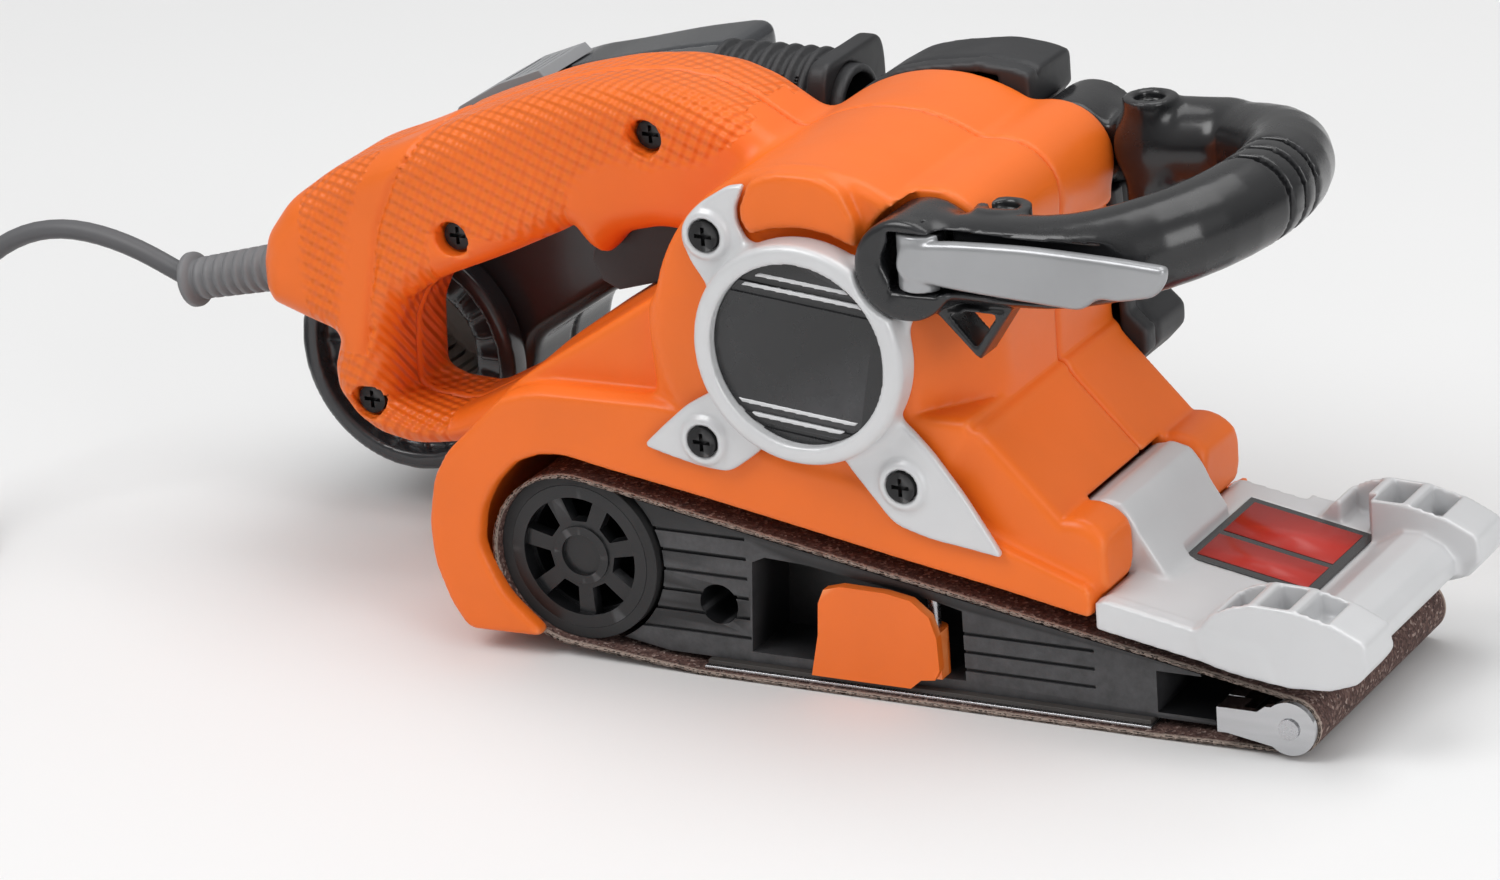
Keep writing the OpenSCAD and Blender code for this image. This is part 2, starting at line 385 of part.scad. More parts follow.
// ---- nose cover
cover_top = [[47.2, 29], [47.2, 32.6], [49.5, 33.7], [88, 26.4], [91, 28], [95, 30.4], [100, 30.6], [104.5, 28.6], [107.4, 25], [107.8, 21.4], [105.6, 21], [104, 24.4], [100, 27.2], [95, 27],
  [91, 24.6], [86, 23.2], [50, 30]];
cover_side = [[47.2, 26.4], [47.2, 32.6], [49.5, 33.7], [88, 26.4], [90, 19.6], [80, 20.4]];
bumper = [[72, 24.6], [71.5, 28.8], [75.5, 33.6], [80, 36], [86, 37.6], [96, 37], [105.5, 34.6], [113, 31], [113.8, 25], [110.6, 21], [104, 18.6], [94, 18], [83, 19.6], [76, 21.4]];
module nose_cover() {
  color([0.76, 0.77, 0.78]) difference() {
    union() {
      slab(-38, 38) polygon(cover_top);
      slab(-41, -38) polygon(cover_side);
      slab(38.2, 41.2) polygon([[64, 28.4], [66, 30.6], [88, 26.4], [90, 20.6], [84, 20.6], [76, 23.6]]);
      slab(-41, -26) polygon(bumper);
      slab(26, 41.2) polygon(bumper);
      rod(hx, hz, 8.8, -21.6, 17.6);
      slab(-21.6, 17.6) polygon([[41, 32.4], [41, 49.8], [46, 49], [57, 32.4], [50, 31.9], [46.5, 32.8]]);
    }
    rod(hx, hz, 2.05, -23, 19);
    for (y = [-40, 27]) for (i = [0:2]) translate([77.5 + i * 9.6, y, 26 - i]) cube([7, 13.2, 14]);
    translate([54.8, -8.2, 32.65]) rotate([0, 10.73, 0]) translate([0, 0, -0.35]) cube([32.4, 38.4, 3]);
  }
}
module nose_hinge_pin() { color([0.66, 0.66, 0.68]) rod(hx, hz, 2, -35.8, 35.8); }
module nose_label() { color([0.14, 0.14, 0.15]) translate([55, -8, 32.65]) rotate([0, 10.73, 0]) translate([0, 0, -0.3]) cube([32, 38, 0.5]); }

// ---- front handle
module front_handle() {
  color([0.15, 0.15, 0.16]) difference() {
    union() {
      hull() { translate([20, -39.6, 111]) scale(1) sphere(r = 8.4, $fn = 32); translate([46, -37.6, 113]) sphere(r = 9.6, $fn = 32); }
      hull() { translate([46, -37.6, 113]) sphere(r = 9.6, $fn = 32); translate([66, -25, 117.6]) sphere(r = grip_r, $fn = 32); }
      hull() { translate([66, -25, 117.6]) sphere(r = grip_r, $fn = 32); translate([75, 0, 120]) sphere(r = grip_r, $fn = 32); }
      hull() { translate([75, 0, 120]) sphere(r = grip_r, $fn = 32); translate([68, 29, 118.4]) sphere(r = grip_r, $fn = 32); }
      hull() { translate([68, 29, 118.4]) sphere(r = grip_r, $fn = 32); translate([46, 46, 114]) sphere(r = 9.6, $fn = 32); }
      hull() { translate([46, 46, 114]) sphere(r = 9.6, $fn = 32); translate([20, 48.6, 111]) sphere(r = 8.4, $fn = 32); }
      hull() { translate([30, 42, 114.5]) sphere(r = 10.6, $fn = 32); translate([46, 45, 114.6]) sphere(r = 10.2, $fn = 32); }
      rod(px, pz, boss_r, -46, -30.4);
      rod(px, pz, boss_r, 38.6, 58);
      translate([25.5, -31, 101]) cylinder(r = 6, h = 21.6);
      translate([30, 38.5, 101]) cylinder(r = 6, h = 25.6);
      slab(-44, -34) difference() { polygon([[12, 101], [32, 102.6], [23.4, 89.6]]); polygon([[16, 100.4], [28.6, 101], [23, 92.6]]); }
    }
    slab(-60, -43.2) polygon([[1.5, 113], [5, 119], [22, 120.6], [76, 120.2], [76, 108], [56, 104.6], [22, 106.6], [4, 107]]);
    translate([11, -44.5, 106]) cylinder(r = 7.4, h = 14);
    translate([11, -44.5, 98.5]) cylinder(r = 1.25, h = 23.5);
    rod(px, pz, 3.05, -47, 59);
    translate([25.5, -31, 100]) cylinder(r = 1.4, h = 24);
    translate([30, 38.5, 100]) cylinder(r = 1.4, h = 28);
    translate([-10, -30.4, 90]) cube([31.6, 69, 40]);
  }
}
module front_handle_bolt() { color([0.66, 0.66, 0.68]) rod(px, pz, 3, -36.6, 57.6); }
module front_handle_nut() { color([0.6, 0.6, 0.62]) difference() { translate([px, 61, pz]) rotate([90, 0, 0]) cylinder(r = 6, h = 2.9, $fn = 6); rod(px, pz, 3, 57, 62); } }
clamp_pts = [[7.2, 115.2], [9, 118], [21, 119.2], [39, 119.8], [60, 119.2], [73, 118.4], [72.6, 115], [70, 111.2], [61, 109.2], [56, 109.6], [52, 106.2], [23, 107.8], [8, 109.4], [6.6, 112]];
module clamp_lever() {
  color([0.62, 0.63, 0.65]) difference() {
    union() { slab(-50, -46.4) polygon(clamp_pts); translate([11, -44.5, 106.4]) cylinder(r = 5.4, h = 13.2); translate([7.6, -46.6, 108]) cube([6.8, 2.2, 10]); }
    translate([11, -44.5, 105]) cylinder(r = 1.3, h = 16);
  }
}
module clamp_lever_pin() { color([0.66, 0.66, 0.68]) translate([11, -44.5, 101]) cylinder(r = 1.25, h = 20.5); }

// ---- trigger and switch
trigger_pts = [[-101, 86], [-98.6, 80.5], [-94.4, 78.6], [-84, 81.5], [-76.5, 85.6], [-70, 91.5], [-69, 99], [-70, 103.6], [-96, 103], [-98.6, 94]];
module trigger() { color([0.2, 0.2, 0.21]) difference() { union() { slab(2, 16) polygon(trigger_pts); rod(-72, 104, 3, 2, 16); } rod(-72, 104, 1.55, 1, 17); } }
module trigger_pin() { color([0.66, 0.66, 0.68]) rod(-72, 104, 1.5, -5.9, 23.9); }
module trigger_spring() { color([0.7, 0.7, 0.72]) for (i = [0:3]) translate([-72, -3.6 + i * 1.1, 104]) rotate([90, 0, 0]) rotate_extrude() translate([2.4, 0]) circle(r = 0.5, $fn = 24); }
module switch_unit() { color([0.16, 0.16, 0.17]) union() { translate([-108, -1, 109.6]) cube([23, 19, 13]); translate([-96, 5, 107.6]) cube([6, 8, 2.2]); } }
module lock_button() { color([0.14, 0.14, 0.15]) union() { rod(-88, 112, 5, 21, 30); rod(-88, 112, 6, 21, 23); } }

// ---- dust canister
canister_out = concat(arc(dx, dz, drum_r, 180, 290, 18), [[-152, 22], [-145, 33], [-141.5, 47], [-124, 58.5], [-98, 76], [-90, 82], [-90, 123],
  [-108, 119.6], [-128, 114.6], [-138, 112.4], [-151, 107.6], [-166, 99.6], [-185, 88.6], [-197, 77], [-203, 62]]);
canister_in = concat(arc(dx, dz, drum_r - 2.5, 180, 290, 18), [[-154, 25], [-147.6, 34], [-144, 49], [-125.6, 60.8], [-99.4, 78.4], [-92.5, 83.4], [-92.5, 120.2],
  [-107.6, 117], [-127.4, 112], [-137.2, 109.8], [-150, 105.2], [-164.9, 97.2], [-183.6, 86.4], [-194.8, 75.4], [-200.6, 61.4]]);
module canister_body() { color([0.2, 0.21, 0.23]) difference() {
  slab(39, 84) polygon(canister_out); slab(41.4, 81.6) polygon(canister_in);
  rod(dx, dz, filter_r + 4.2, 38, 42); xrod(-94, -88, 52, 112.5, 8.6); } }
module canister_rim() { color([0.17, 0.18, 0.19]) difference() { rod(dx, dz, drum_r, 31, 39); rod(dx, dz, drum_r - 4.4, 30, 36.6); rod(dx, dz, filter_r, 36, 40);
  for (a = [20, 140, 260]) translate([dx, 0, dz]) rotate([0, a, 0]) translate([22, 35, -2]) cube([3, 3, 4]); } }
module canister_filter() { color([0.7, 0.7, 0.7]) difference() { rod(dx, dz, filter_r + 4, 39.1, 76); rod(dx, dz, filter_r, 38, 74);
  for (a = [0:10:350]) translate([dx, 0, dz]) rotate([0, a, 0]) translate([filter_r - 1, 40, -0.5]) cube([3.4, 34, 1]); } }
module canister_neck() { color([0.16, 0.16, 0.17]) difference() {
  union() { xrod(-90, -60, 52, 112.5, 12.8); xrod(-84, -74, 52, 112.5, 13.8);
    translate([-60.5, 55.2, 112.8]) rotate([0, 90, 0]) linear_extrude(5.5) intersection() { square([26, 33], center = true); circle(r = 18.6); } }
  xrod(-91, -50, 51, 112.5, 10.6); } }
module canister_vent() { color([0.62, 0.63, 0.64]) difference() {
  slab(50, 74) polygon([[-166, 99.8], [-151, 107.8], [-138, 112.6], [-140, 114.6], [-152, 110], [-164, 103]]);
  for (i = [0:6]) translate([-160 + i * 2.8, 53, 100]) cube([1, 18, 18]); } }

// ---- strain relief, mains lead and plug
module strain_relief() { color([0.4, 0.4, 0.41]) translate([-184, 9, 74.6]) rotate([0, -103.2, 0]) difference() {
  union() { translate([0, 0, -2]) cylinder(r = 5.7, h = 11); translate([0, 0, 9]) cylinder(r = 5.9, h = 26.6); translate([0, 0, 35.6]) cylinder(r = 7, h = 2); }
  translate([0, 0, -4]) cylinder(r = 2.4, h = 24); } }
cord_route = [[-220.7, 9, 66.3], [-226, 9, 68.4], [-235, 9, 72.6], [-247, 9, 75.6], [-258, 9, 76.2], [-269, 8.6, 74], [-279, 6, 68.4], [-286, 1, 60],
  [-289.4, -6, 50], [-289.6, -14, 39], [-286.6, -22, 28.6], [-281.6, -29.6, 20], [-276.4, -36.6, 15.2]];
coil_x = -302; coil_y = -45;
module power_cord() { color([0.42, 0.42, 0.43]) tube(smooth(cord_route, 3), cord_d / 2, 10); }
module cord_coil() { color([0.42, 0.42, 0.43]) translate([coil_x, coil_y, 0]) rotate_extrude() translate([17.8, 0.05]) square([22.4, 15.1]); }
module mains_plug() { color([0.25, 0.25, 0.26]) {
  translate([-340, -24, 8.5]) rotate([-90, 0, 0]) cylinder(r = 4.4, h = 16.5);
  translate([-340, -8, 8.5]) rotate([-90, 0, 0]) linear_extrude(30) intersection() { square([34, 17], center = true); circle(r = 17.5); }
  for (s = [-9.5, 9.5]) translate([-340 + s, 21.5, 8.5]) rotate([-90, 0, 0]) cylinder(r = 2, h = 19); } }

housing_near();
housing_far();
housing_screws();
drive_cover();
cover_screws();
end_shield();
end_shield_badge();
end_shield_screws();
stator_core();
field_coils();
armature_core();
armature_coils();
commutator();
motor_shaft();
cooling_fan();
motor_bearings();
motor_end_plate();
brush_holders();
carbon_brushes();
motor_pulley();
drive_belt();
drive_pulley();
roller_shaft();
roller_bearings();
roller_bearing_carrier();
drive_roller_hub();
drive_roller_tyre();
sanding_belt();
platen_frame();
platen_pad();
platen_plate();
front_roller();
front_axle();
tension_yoke();
tension_spring();
tension_lever();
tension_lever_pin();
tracking_knob();
nose_cover();
nose_hinge_pin();
nose_label();
front_handle();
front_handle_bolt();
front_handle_nut();
clamp_lever();
clamp_lever_pin();
trigger();
trigger_pin();
trigger_spring();
switch_unit();
lock_button();
canister_body();
canister_rim();
canister_filter();
canister_neck();
canister_vent();
strain_relief();
power_cord();
cord_coil();
mains_plug();
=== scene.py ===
import bpy, math
import numpy as np
from mathutils import Matrix, Vector


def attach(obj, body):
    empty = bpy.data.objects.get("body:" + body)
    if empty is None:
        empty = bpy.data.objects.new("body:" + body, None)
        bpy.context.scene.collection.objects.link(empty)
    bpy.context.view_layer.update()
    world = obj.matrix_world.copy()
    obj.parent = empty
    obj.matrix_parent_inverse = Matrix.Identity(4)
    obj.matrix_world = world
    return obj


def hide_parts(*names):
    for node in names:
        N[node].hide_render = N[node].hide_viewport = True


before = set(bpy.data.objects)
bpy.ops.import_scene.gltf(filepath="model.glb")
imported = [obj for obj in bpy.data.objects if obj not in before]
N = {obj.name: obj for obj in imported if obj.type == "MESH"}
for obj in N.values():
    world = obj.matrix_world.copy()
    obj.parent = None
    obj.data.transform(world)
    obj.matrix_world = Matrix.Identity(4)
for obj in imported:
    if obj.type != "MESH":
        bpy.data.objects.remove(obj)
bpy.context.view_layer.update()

scene = bpy.context.scene
MM = 0.001

# ---------------------------------------------------------------- camera
a, e, r = math.radians(29.0445), math.radians(20.7653), math.radians(-4.2636)
R = Vector((math.cos(a), math.sin(a), 0))
F = Vector((-math.sin(a) * math.cos(e), math.cos(a) * math.cos(e), -math.sin(e)))
U = R.cross(F)
R2 = R * math.cos(r) + U * math.sin(r)
U2 = -R * math.sin(r) + U * math.cos(r)
cam_data = bpy.data.cameras.new("camera")
cam_data.lens, cam_data.sensor_width, cam_data.sensor_fit = 155.83, 36, "HORIZONTAL"
cam_data.clip_start, cam_data.clip_end = 0.05, 50
cam = bpy.data.objects.new("camera", cam_data)
scene.collection.objects.link(cam)
cam.matrix_world = Matrix(((R2.x, U2.x, -F.x, 0.638905), (R2.y, U2.y, -F.y, -1.260039), (R2.z, U2.z, -F.z, 0.591367), (0, 0, 0, 1)))
scene.camera = cam

BASE_OUT = [[-118.6, 5], [-123, 11.5], [-126.6, 21.5], [-127, 31.7], [-124.7, 43], [-120.5, 50], [-105.5, 66], [-89.6, 76.5], [-62, 94], [-20, 112], [8, 124], [18, 113], [18, 85], [17.5, 72], [38, 51], [46.3, 42], [46.3, 28.5], [23, 33], [-2, 37.5], [-33, 43.5], [-53, 47], [-79, 51.2], [-88.3, 53], [-95, 52.6], [-102, 49.8], [-109, 44], [-114, 36], [-115.5, 27], [-113.5, 15], [-112, 6]]
BASE_IN = [[-123.6, 31.5], [-121.6, 42], [-117.8, 48], [-104, 62.5], [-88, 73], [-62, 90.5], [-20, 108], [7, 119.5], [15, 111], [15, 85], [14.5, 71], [35, 50], [35, 33.8], [23, 36.2], [-2, 40.7], [-33, 46.7], [-53, 50.2], [-79, 54.4], [-88.5, 56.2], [-96.5, 55.8], [-104, 52.6], [-112, 45.5], [-117.2, 37], [-118.8, 27], [-118.4, 20], [-122.4, 22]]
BASE_LOW = [[-123.6, 31.5], [-121.6, 42], [-117.8, 47.6], [-112, 53.6], [-103, 61.6], [-95, 64.8], [-64, 65.4], [-40, 60], [15, 50], [35, 40], [35, 33.8], [23, 36.2], [-2, 40.7], [-33, 46.7], [-53, 50.2], [-79, 54.4], [-88.5, 56.2], [-96.5, 55.8], [-104, 52.6], [-112, 45.5], [-117.2, 37], [-118.8, 27], [-118.4, 20], [-122.4, 22]]
ABOVE_SHOULDER = [[-121, 50.6], [-113.6, 57], [-104.3, 66], [-95.4, 68.6], [-64, 69.2], [-64, 100], [-130, 100], [-130, 50]]
GUARD_PLATE = [[-97, 5.5], [-118.6, 5], [-123, 11.5], [-126.6, 21.5], [-127, 31.7], [-124.7, 43], [-120.5, 50], [-113.6, 56.5], [-104.3, 65.5], [-95.4, 68], [-60, 68.7], [-30, 58], [10, 52], [24, 44], [46.3, 36], [46.3, 28.5], [23.3, 33], [-1.8, 37.3], [-33, 43], [-53, 46.6], [-79, 50.8], [-88.3, 52.6], [-95, 52.2], [-102, 49.4], [-108, 43.2], [-112, 36], [-113.5, 27], [-108, 15]]
HOOD_LIP = [[-32.5, 126.6], [-35.2, 120], [-35, 116.8], [-33, 114], [-27, 115.9], [-20, 116.6], [-13, 115.9], [-6, 113], [-5.6, 119], [-9, 126.4], [-14, 129], [-20, 129.5], [-27, 129]]
GRIP_OUT = [[-190, 79.5], [-188.2, 86], [-181.5, 94.7], [-167, 105], [-150.7, 111.2], [-133.4, 119.2], [-110.8, 128], [-93.3, 132.3], [-78.3, 133.8], [-66.8, 132.8], [-57.7, 129.8], [-44.7, 122], [-44, 100], [-62, 78], [-75, 82], [-98, 68], [-112, 57], [-124, 40], [-140.6, 36.4], [-150.8, 34.9], [-160.7, 36.8], [-167.1, 40.8], [-172, 47.5], [-172.5, 53.6], [-169.8, 62], [-178, 64.5], [-188, 68], [-190, 72]]
GRIP_HOLE = [[-156, 46.5], [-151, 44.5], [-140, 44], [-125, 52], [-97.7, 71], [-74, 86], [-66, 92], [-69, 97.5], [-78, 98.1], [-87.8, 95.7], [-93.6, 89.6], [-97.6, 91.6], [-101.6, 96.3], [-105, 94.4], [-122, 86.4], [-140, 79], [-151, 72], [-155, 64]]
GRIP_IN = [[-187, 79.5], [-185, 85], [-179.5, 92.3], [-165.5, 102.2], [-149.6, 108.2], [-132.2, 116.2], [-109.8, 125], [-92.8, 129.2], [-78.3, 130.7], [-67.4, 129.7], [-62, 128], [-62, 101], [-78, 101.2], [-89.5, 98.6], [-93.4, 94.2], [-100, 99.6], [-106.4, 97.2], [-123.4, 89.3], [-141.4, 81.8], [-153.5, 74], [-158, 65], [-159, 46.6], [-152, 41.4], [-140, 40.9], [-141, 39.6], [-150.6, 38], [-159.6, 39.6], [-164.8, 43], [-169, 48.6], [-169.4, 53.6], [-166, 64.5], [-177, 67.5], [-185.6, 70.6], [-187, 73]]
TRIGGER_SLOT = [[-103, 80], [-67, 80], [-67, 104], [-98.5, 104], [-102.5, 92]]
FAR_WALL_PTS = [[-97, 4], [-118.6, 5], [-123, 11.5], [-126.6, 21.5], [-127, 31.7], [-124.7, 43], [-120.5, 50], [-105.5, 66], [-89.6, 76.5], [-62, 94], [-50, 60], [0, 46], [30, 45], [44, 40], [60, 26], [85, 16.5], [96, 14.6], [101.3, 11.6], [102.4, 8], [99.4, 3.6], [94, 2], [60, 2], [-58, 2]]
COVER_OUT = [[-104.4, 40.7], [-119, 52], [-98, 72.5], [-86, 79], [-86, 92], [-62, 94], [-54, 98], [-54, 112], [-49, 118], [-43.7, 122.5], [-36, 127], [-28, 129], [-14, 131], [-4, 130], [6, 126.5], [14, 124], [19, 110], [20, 97], [22, 72], [26.5, 68], [26.5, 63], [21, 57], [4, 51], [-40, 38], [-75.6, 8.8]]
COVER_IN = [[-100, 41], [-116, 52.4], [-96.4, 70.4], [-83.4, 77.6], [-83.4, 89.5], [-61.4, 91.5], [-51.5, 97], [-51.5, 111], [-47, 116.5], [-42, 120.4], [-35, 124.4], [-27.5, 126.4], [-14, 128.4], [-9, 127.8], [-9, 104], [2, 94], [17.4, 94], [19.4, 71], [18.6, 59], [3, 53.8], [-41.5, 41], [-74, 13]]
LEG_UL = [[-33.8, 125.7], [-38.2, 124.9], [-46, 120], [-50.4, 114], [-50.8, 110.6], [-49, 106], [-43.5, 98], [-36, 92], [-26, 104], [-32, 109.8], [-34.6, 112.6], [-36.4, 116.4], [-36.4, 120]]
LEG_LL = [[-65.3, 59], [-59.6, 64.5], [-53, 70.4], [-46, 74.5], [-36, 80], [-28, 68], [-34.9, 60.7], [-42.9, 54.8], [-51.3, 55.6], [-59.2, 57.4]]
LEG_LR = [[-13, 64], [-11.8, 60], [-1, 47], [8, 44.4], [17.6, 43.2], [26, 41.9], [23.4, 46.2], [17, 56], [9.8, 65.4], [4, 71.4], [-4, 76]]
LEG_UR = [[-10, 107], [-3.3, 112.2], [7.6, 98], [2.6, 93.2], [-6, 92]]
COVER_TOP = [[47.2, 29], [47.2, 32.6], [49.5, 33.7], [88, 26.4], [91, 28], [95, 30.4], [100, 30.6], [104.5, 28.6], [107.4, 25], [107.8, 21.4], [105.6, 21], [104, 24.4], [100, 27.2], [95, 27], [91, 24.6], [86, 23.2], [50, 30]]
COVER_SIDE = [[47.2, 26.4], [47.2, 32.6], [49.5, 33.7], [88, 26.4], [90, 19.6], [80, 20.4]]
BUMPER = [[72, 24.6], [71.5, 28.8], [75.5, 33.6], [80, 36], [86, 37.6], [96, 37], [105.5, 34.6], [113, 31], [113.8, 25], [110.6, 21], [104, 18.6], [94, 18], [83, 19.6], [76, 21.4]]
CLAMP_PTS = [[7.2, 115.2], [9, 118], [21, 119.2], [39, 119.8], [60, 119.2], [73, 118.4], [72.6, 115], [70, 111.2], [61, 109.2], [56, 109.6], [52, 106.2], [23, 107.8], [8, 109.4], [6.6, 112]]
LEVER_PTS = [[-28.5, 3.6], [-26.2, 14], [-25.6, 22], [-24, 25.6], [-19.5, 26.9], [-8, 26.7], [-1.5, 25.6], [3, 22], [4.6, 17], [4.9, 9], [3.6, 6.5], [0, 6], [-2.8, 3.6]]
COVER_XZ = [[-45.5, 116], [14, 64], [-40, 46], [-80, 60]]
SCREW_XZ = [[-78.4, 121.5], [-133.5, 91], [-162, 46]]
SHIELD_XZ = [[-44, 113], [-48.5, 62.4], [2.2, 57.2]]
CORD_ROUTE = [[-220.7, 9, 66.3], [-226, 9, 68.4], [-235, 9, 72.6], [-247, 9, 75.6], [-258, 9, 76.2], [-269, 8.6, 74], [-279, 6, 68.4], [-286, 1, 60], [-289.4, -6, 50], [-289.6, -14, 39], [-286.6, -22, 28.6], [-281.6, -29.6, 20], [-276.4, -36.6, 15.2]]

# ---------------------------------------------------------------- node helpers for materials
def mat(name, rgb, rough, metal=0.0):
    m = bpy.data.materials.new(name)
    m.use_nodes = True
    b = m.node_tree.nodes["Principled BSDF"]
    b.inputs["Base Color"].default_value = (*rgb, 1)
    b.inputs["Roughness"].default_value = rough
    b.inputs["Metallic"].default_value = metal
    return m, m.node_tree, b

def noise(t, scale, detail=3, rough=0.5, coord="Object"):
    tc = t.nodes.new("ShaderNodeTexCoord")
    n = t.nodes.new("ShaderNodeTexNoise")
    n.inputs["Scale"].default_value = scale
    n.inputs["Detail"].default_value = detail
    n.inputs["Roughness"].default_value = rough
    t.links.new(tc.outputs[coord], n.inputs["Vector"])
    return n

def ramp(t, src, stops):
    c = t.nodes.new("ShaderNodeValToRGB")
    while len(c.color_ramp.elements) < len(stops):
        c.color_ramp.elements.new(0.5)
    for el, (p, col) in zip(c.color_ramp.elements, stops):
        el.position = p
        el.color = (*col, 1) if len(col) == 3 else col
    t.links.new(src, c.inputs["Fac"])
    return c

def bump(t, b, height, strength, dist, after=None):
    n = t.nodes.new("ShaderNodeBump")
    n.inputs["Strength"].default_value = strength
    n.inputs["Distance"].default_value = dist
    t.links.new(height, n.inputs["Height"])
    if after is not None:
        t.links.new(after.outputs["Normal"], n.inputs["Normal"])
    t.links.new(n.outputs["Normal"], b.inputs["Normal"])
    return n

def varied(name, rgb, rough, spread=0.08, metal=0.0, fine=2600, fine_amt=0.12, fine_d=0.00006, edge_highlight=None, coat=0.0):
    """Moulded or painted surface: cloudy colour and gloss, a fine surface grain, and convex edges painted lighter as
    a painted edge highlight broken up by fine noise.
    """
    m, t, b = mat(name, rgb, rough, metal)
    n = noise(t, 28, 4)
    dark = tuple(c * (1 - spread) for c in rgb)
    light = tuple(min(1, c * (1 + spread)) for c in rgb)
    c = ramp(t, n.outputs["Fac"], [(0.3, dark), (0.7, light)])
    colour = c.outputs["Color"]
    if edge_highlight:
        # painted edge highlight: convex edges (high pointiness), broken up by fine noise, are mixed towards the
        # lighter edge colour
        g = t.nodes.new("ShaderNodeNewGeometry")
        w = ramp(t, g.outputs["Pointiness"], [(0.53, (0, 0, 0)), (0.6, (1, 1, 1))])
        n2 = noise(t, 260, 5, 0.7)
        mul = t.nodes.new("ShaderNodeMath"); mul.operation = "MULTIPLY"
        t.links.new(w.outputs["Color"], mul.inputs[0]); t.links.new(n2.outputs["Fac"], mul.inputs[1])
        mix = t.nodes.new("ShaderNodeMix"); mix.data_type = "RGBA"
        t.links.new(mul.outputs[0], mix.inputs["Factor"])
        t.links.new(colour, mix.inputs[6]); mix.inputs[7].default_value = (*edge_highlight, 1)
        colour = mix.outputs[2]
    t.links.new(colour, b.inputs["Base Color"])
    n3 = noise(t, 70, 5, 0.6)
    rr = ramp(t, n3.outputs["Fac"], [(0.25, (rough * 0.85,) * 3), (0.8, (min(1, rough * 1.18),) * 3)])
    t.links.new(rr.outputs["Color"], b.inputs["Roughness"])
    f = noise(t, fine, 2)
    first = bump(t, b, f.outputs["Fac"], fine_amt, fine_d)
    b.inputs["Coat Weight"].default_value = coat
    b.inputs["Coat Roughness"].default_value = 0.15
    return m, t, b, first

ORANGE = (0.87, 0.163, 0.014)
M = {}
# the lighter edge colours given to varied() here and below are painted edge highlights on convex edges
m, t, b, first = varied("orange_plastic", ORANGE, 0.4, 0.05, fine_amt=0.25, edge_highlight=(1.0, 0.36, 0.14))
# moulded grip pattern, where the grip attribute says
at = t.nodes.new("ShaderNodeAttribute"); at.attribute_name = "grip"
tc = t.nodes.new("ShaderNodeTexCoord")
sp_ = t.nodes.new("ShaderNodeSeparateXYZ"); t.links.new(tc.outputs["Object"], sp_.inputs[0])
def math_(op, p, q=None):
    n_ = t.nodes.new("ShaderNodeMath"); n_.operation = op
    for i_, w_ in enumerate((p, q)):
        if w_ is None: continue
        if isinstance(w_, (int, float)): n_.inputs[i_].default_value = w_
        else: t.links.new(w_, n_.inputs[i_])
    return n_.outputs[0]
cs, sn, kk = math.cos(math.radians(22)), math.sin(math.radians(22)), 2 * math.pi / 0.0043
zy = math_("ADD", sp_.outputs["Z"], sp_.outputs["Y"])
u_ = math_("ADD", math_("MULTIPLY", sp_.outputs["X"], cs * kk), math_("MULTIPLY", zy, sn * kk))
v_ = math_("SUBTRACT", math_("MULTIPLY", zy, cs * kk), math_("MULTIPLY", sp_.outputs["X"], sn * kk))
w_ = math_("MULTIPLY", math_("SINE", u_), math_("SINE", v_))
mu = t.nodes.new("ShaderNodeMath"); mu.operation = "MULTIPLY"
t.links.new(w_, mu.inputs[0]); t.links.new(at.outputs["Fac"], mu.inputs[1])
bump(t, b, mu.outputs[0], 0.7, 0.0006, first)
b.inputs["Specular IOR Level"].default_value = 0.4
M["orange"] = m
M["orange_lever"] = varied("orange_lever", ORANGE, 0.36, 0.05, edge_highlight=(1.0, 0.4, 0.16))[0]
M["black"] = varied("black_plastic", (0.019, 0.0195, 0.0215), 0.5, 0.2, fine=3400, fine_amt=0.45, fine_d=0.0001, edge_highlight=(0.12, 0.12, 0.125))[0]
M["gloss_black"] = varied("gloss_black", (0.0095, 0.0098, 0.011), 0.27, 0.2, fine=1800, fine_amt=0.04, edge_highlight=(0.06, 0.06, 0.065), coat=0.2)[0]
M["frame"] = varied("frame_black", (0.0105, 0.0108, 0.012), 0.36, 0.2, fine=2600, fine_amt=0.3, fine_d=0.0001, edge_highlight=(0.1, 0.1, 0.105))[0]
M["silver"] = varied("silver_paint", (0.64, 0.645, 0.655), 0.36, 0.05, metal=0.12, fine=5200, fine_amt=0.12, edge_highlight=(0.75, 0.75, 0.76), coat=0.2)[0]
M["grey"] = varied("grey_plastic", (0.3, 0.305, 0.315), 0.45, 0.08, fine_amt=0.2)[0]
m, t, b, first = varied("lever_grey", (0.36, 0.365, 0.375), 0.32, 0.1, metal=0.5, fine=4200, fine_amt=0.1, edge_highlight=(0.4, 0.4, 0.42))
# the knuckle behind the blade is left black
src = b.inputs["Base Color"].links[0].from_socket
tc = t.nodes.new("ShaderNodeTexCoord"); sx = t.nodes.new("ShaderNodeSeparateXYZ"); t.links.new(tc.outputs["Object"], sx.inputs[0])
gt = t.nodes.new("ShaderNodeMath"); gt.operation = "GREATER_THAN"; gt.inputs[1].default_value = -0.0463; t.links.new(sx.outputs["Y"], gt.inputs[0])
mix = t.nodes.new("ShaderNodeMix"); mix.data_type = "RGBA"; mix.inputs[7].default_value = (0.012, 0.0122, 0.0135, 1)
t.links.new(gt.outputs[0], mix.inputs["Factor"]); t.links.new(src, mix.inputs[6]); t.links.new(mix.outputs[2], b.inputs["Base Color"])
M["lever_grey"] = m
M["rubber"] = varied("rubber", (0.022, 0.022, 0.023), 0.72, 0.3, fine=900, fine_amt=0.35, fine_d=0.0001)[0]
M["cord"] = varied("cord_sheath", (0.1, 0.1, 0.105), 0.48, 0.12, fine=1500, fine_amt=0.12)[0]
M["relief"] = varied("relief_rubber", (0.17, 0.17, 0.176), 0.55, 0.12, fine=1500, fine_amt=0.2)[0]
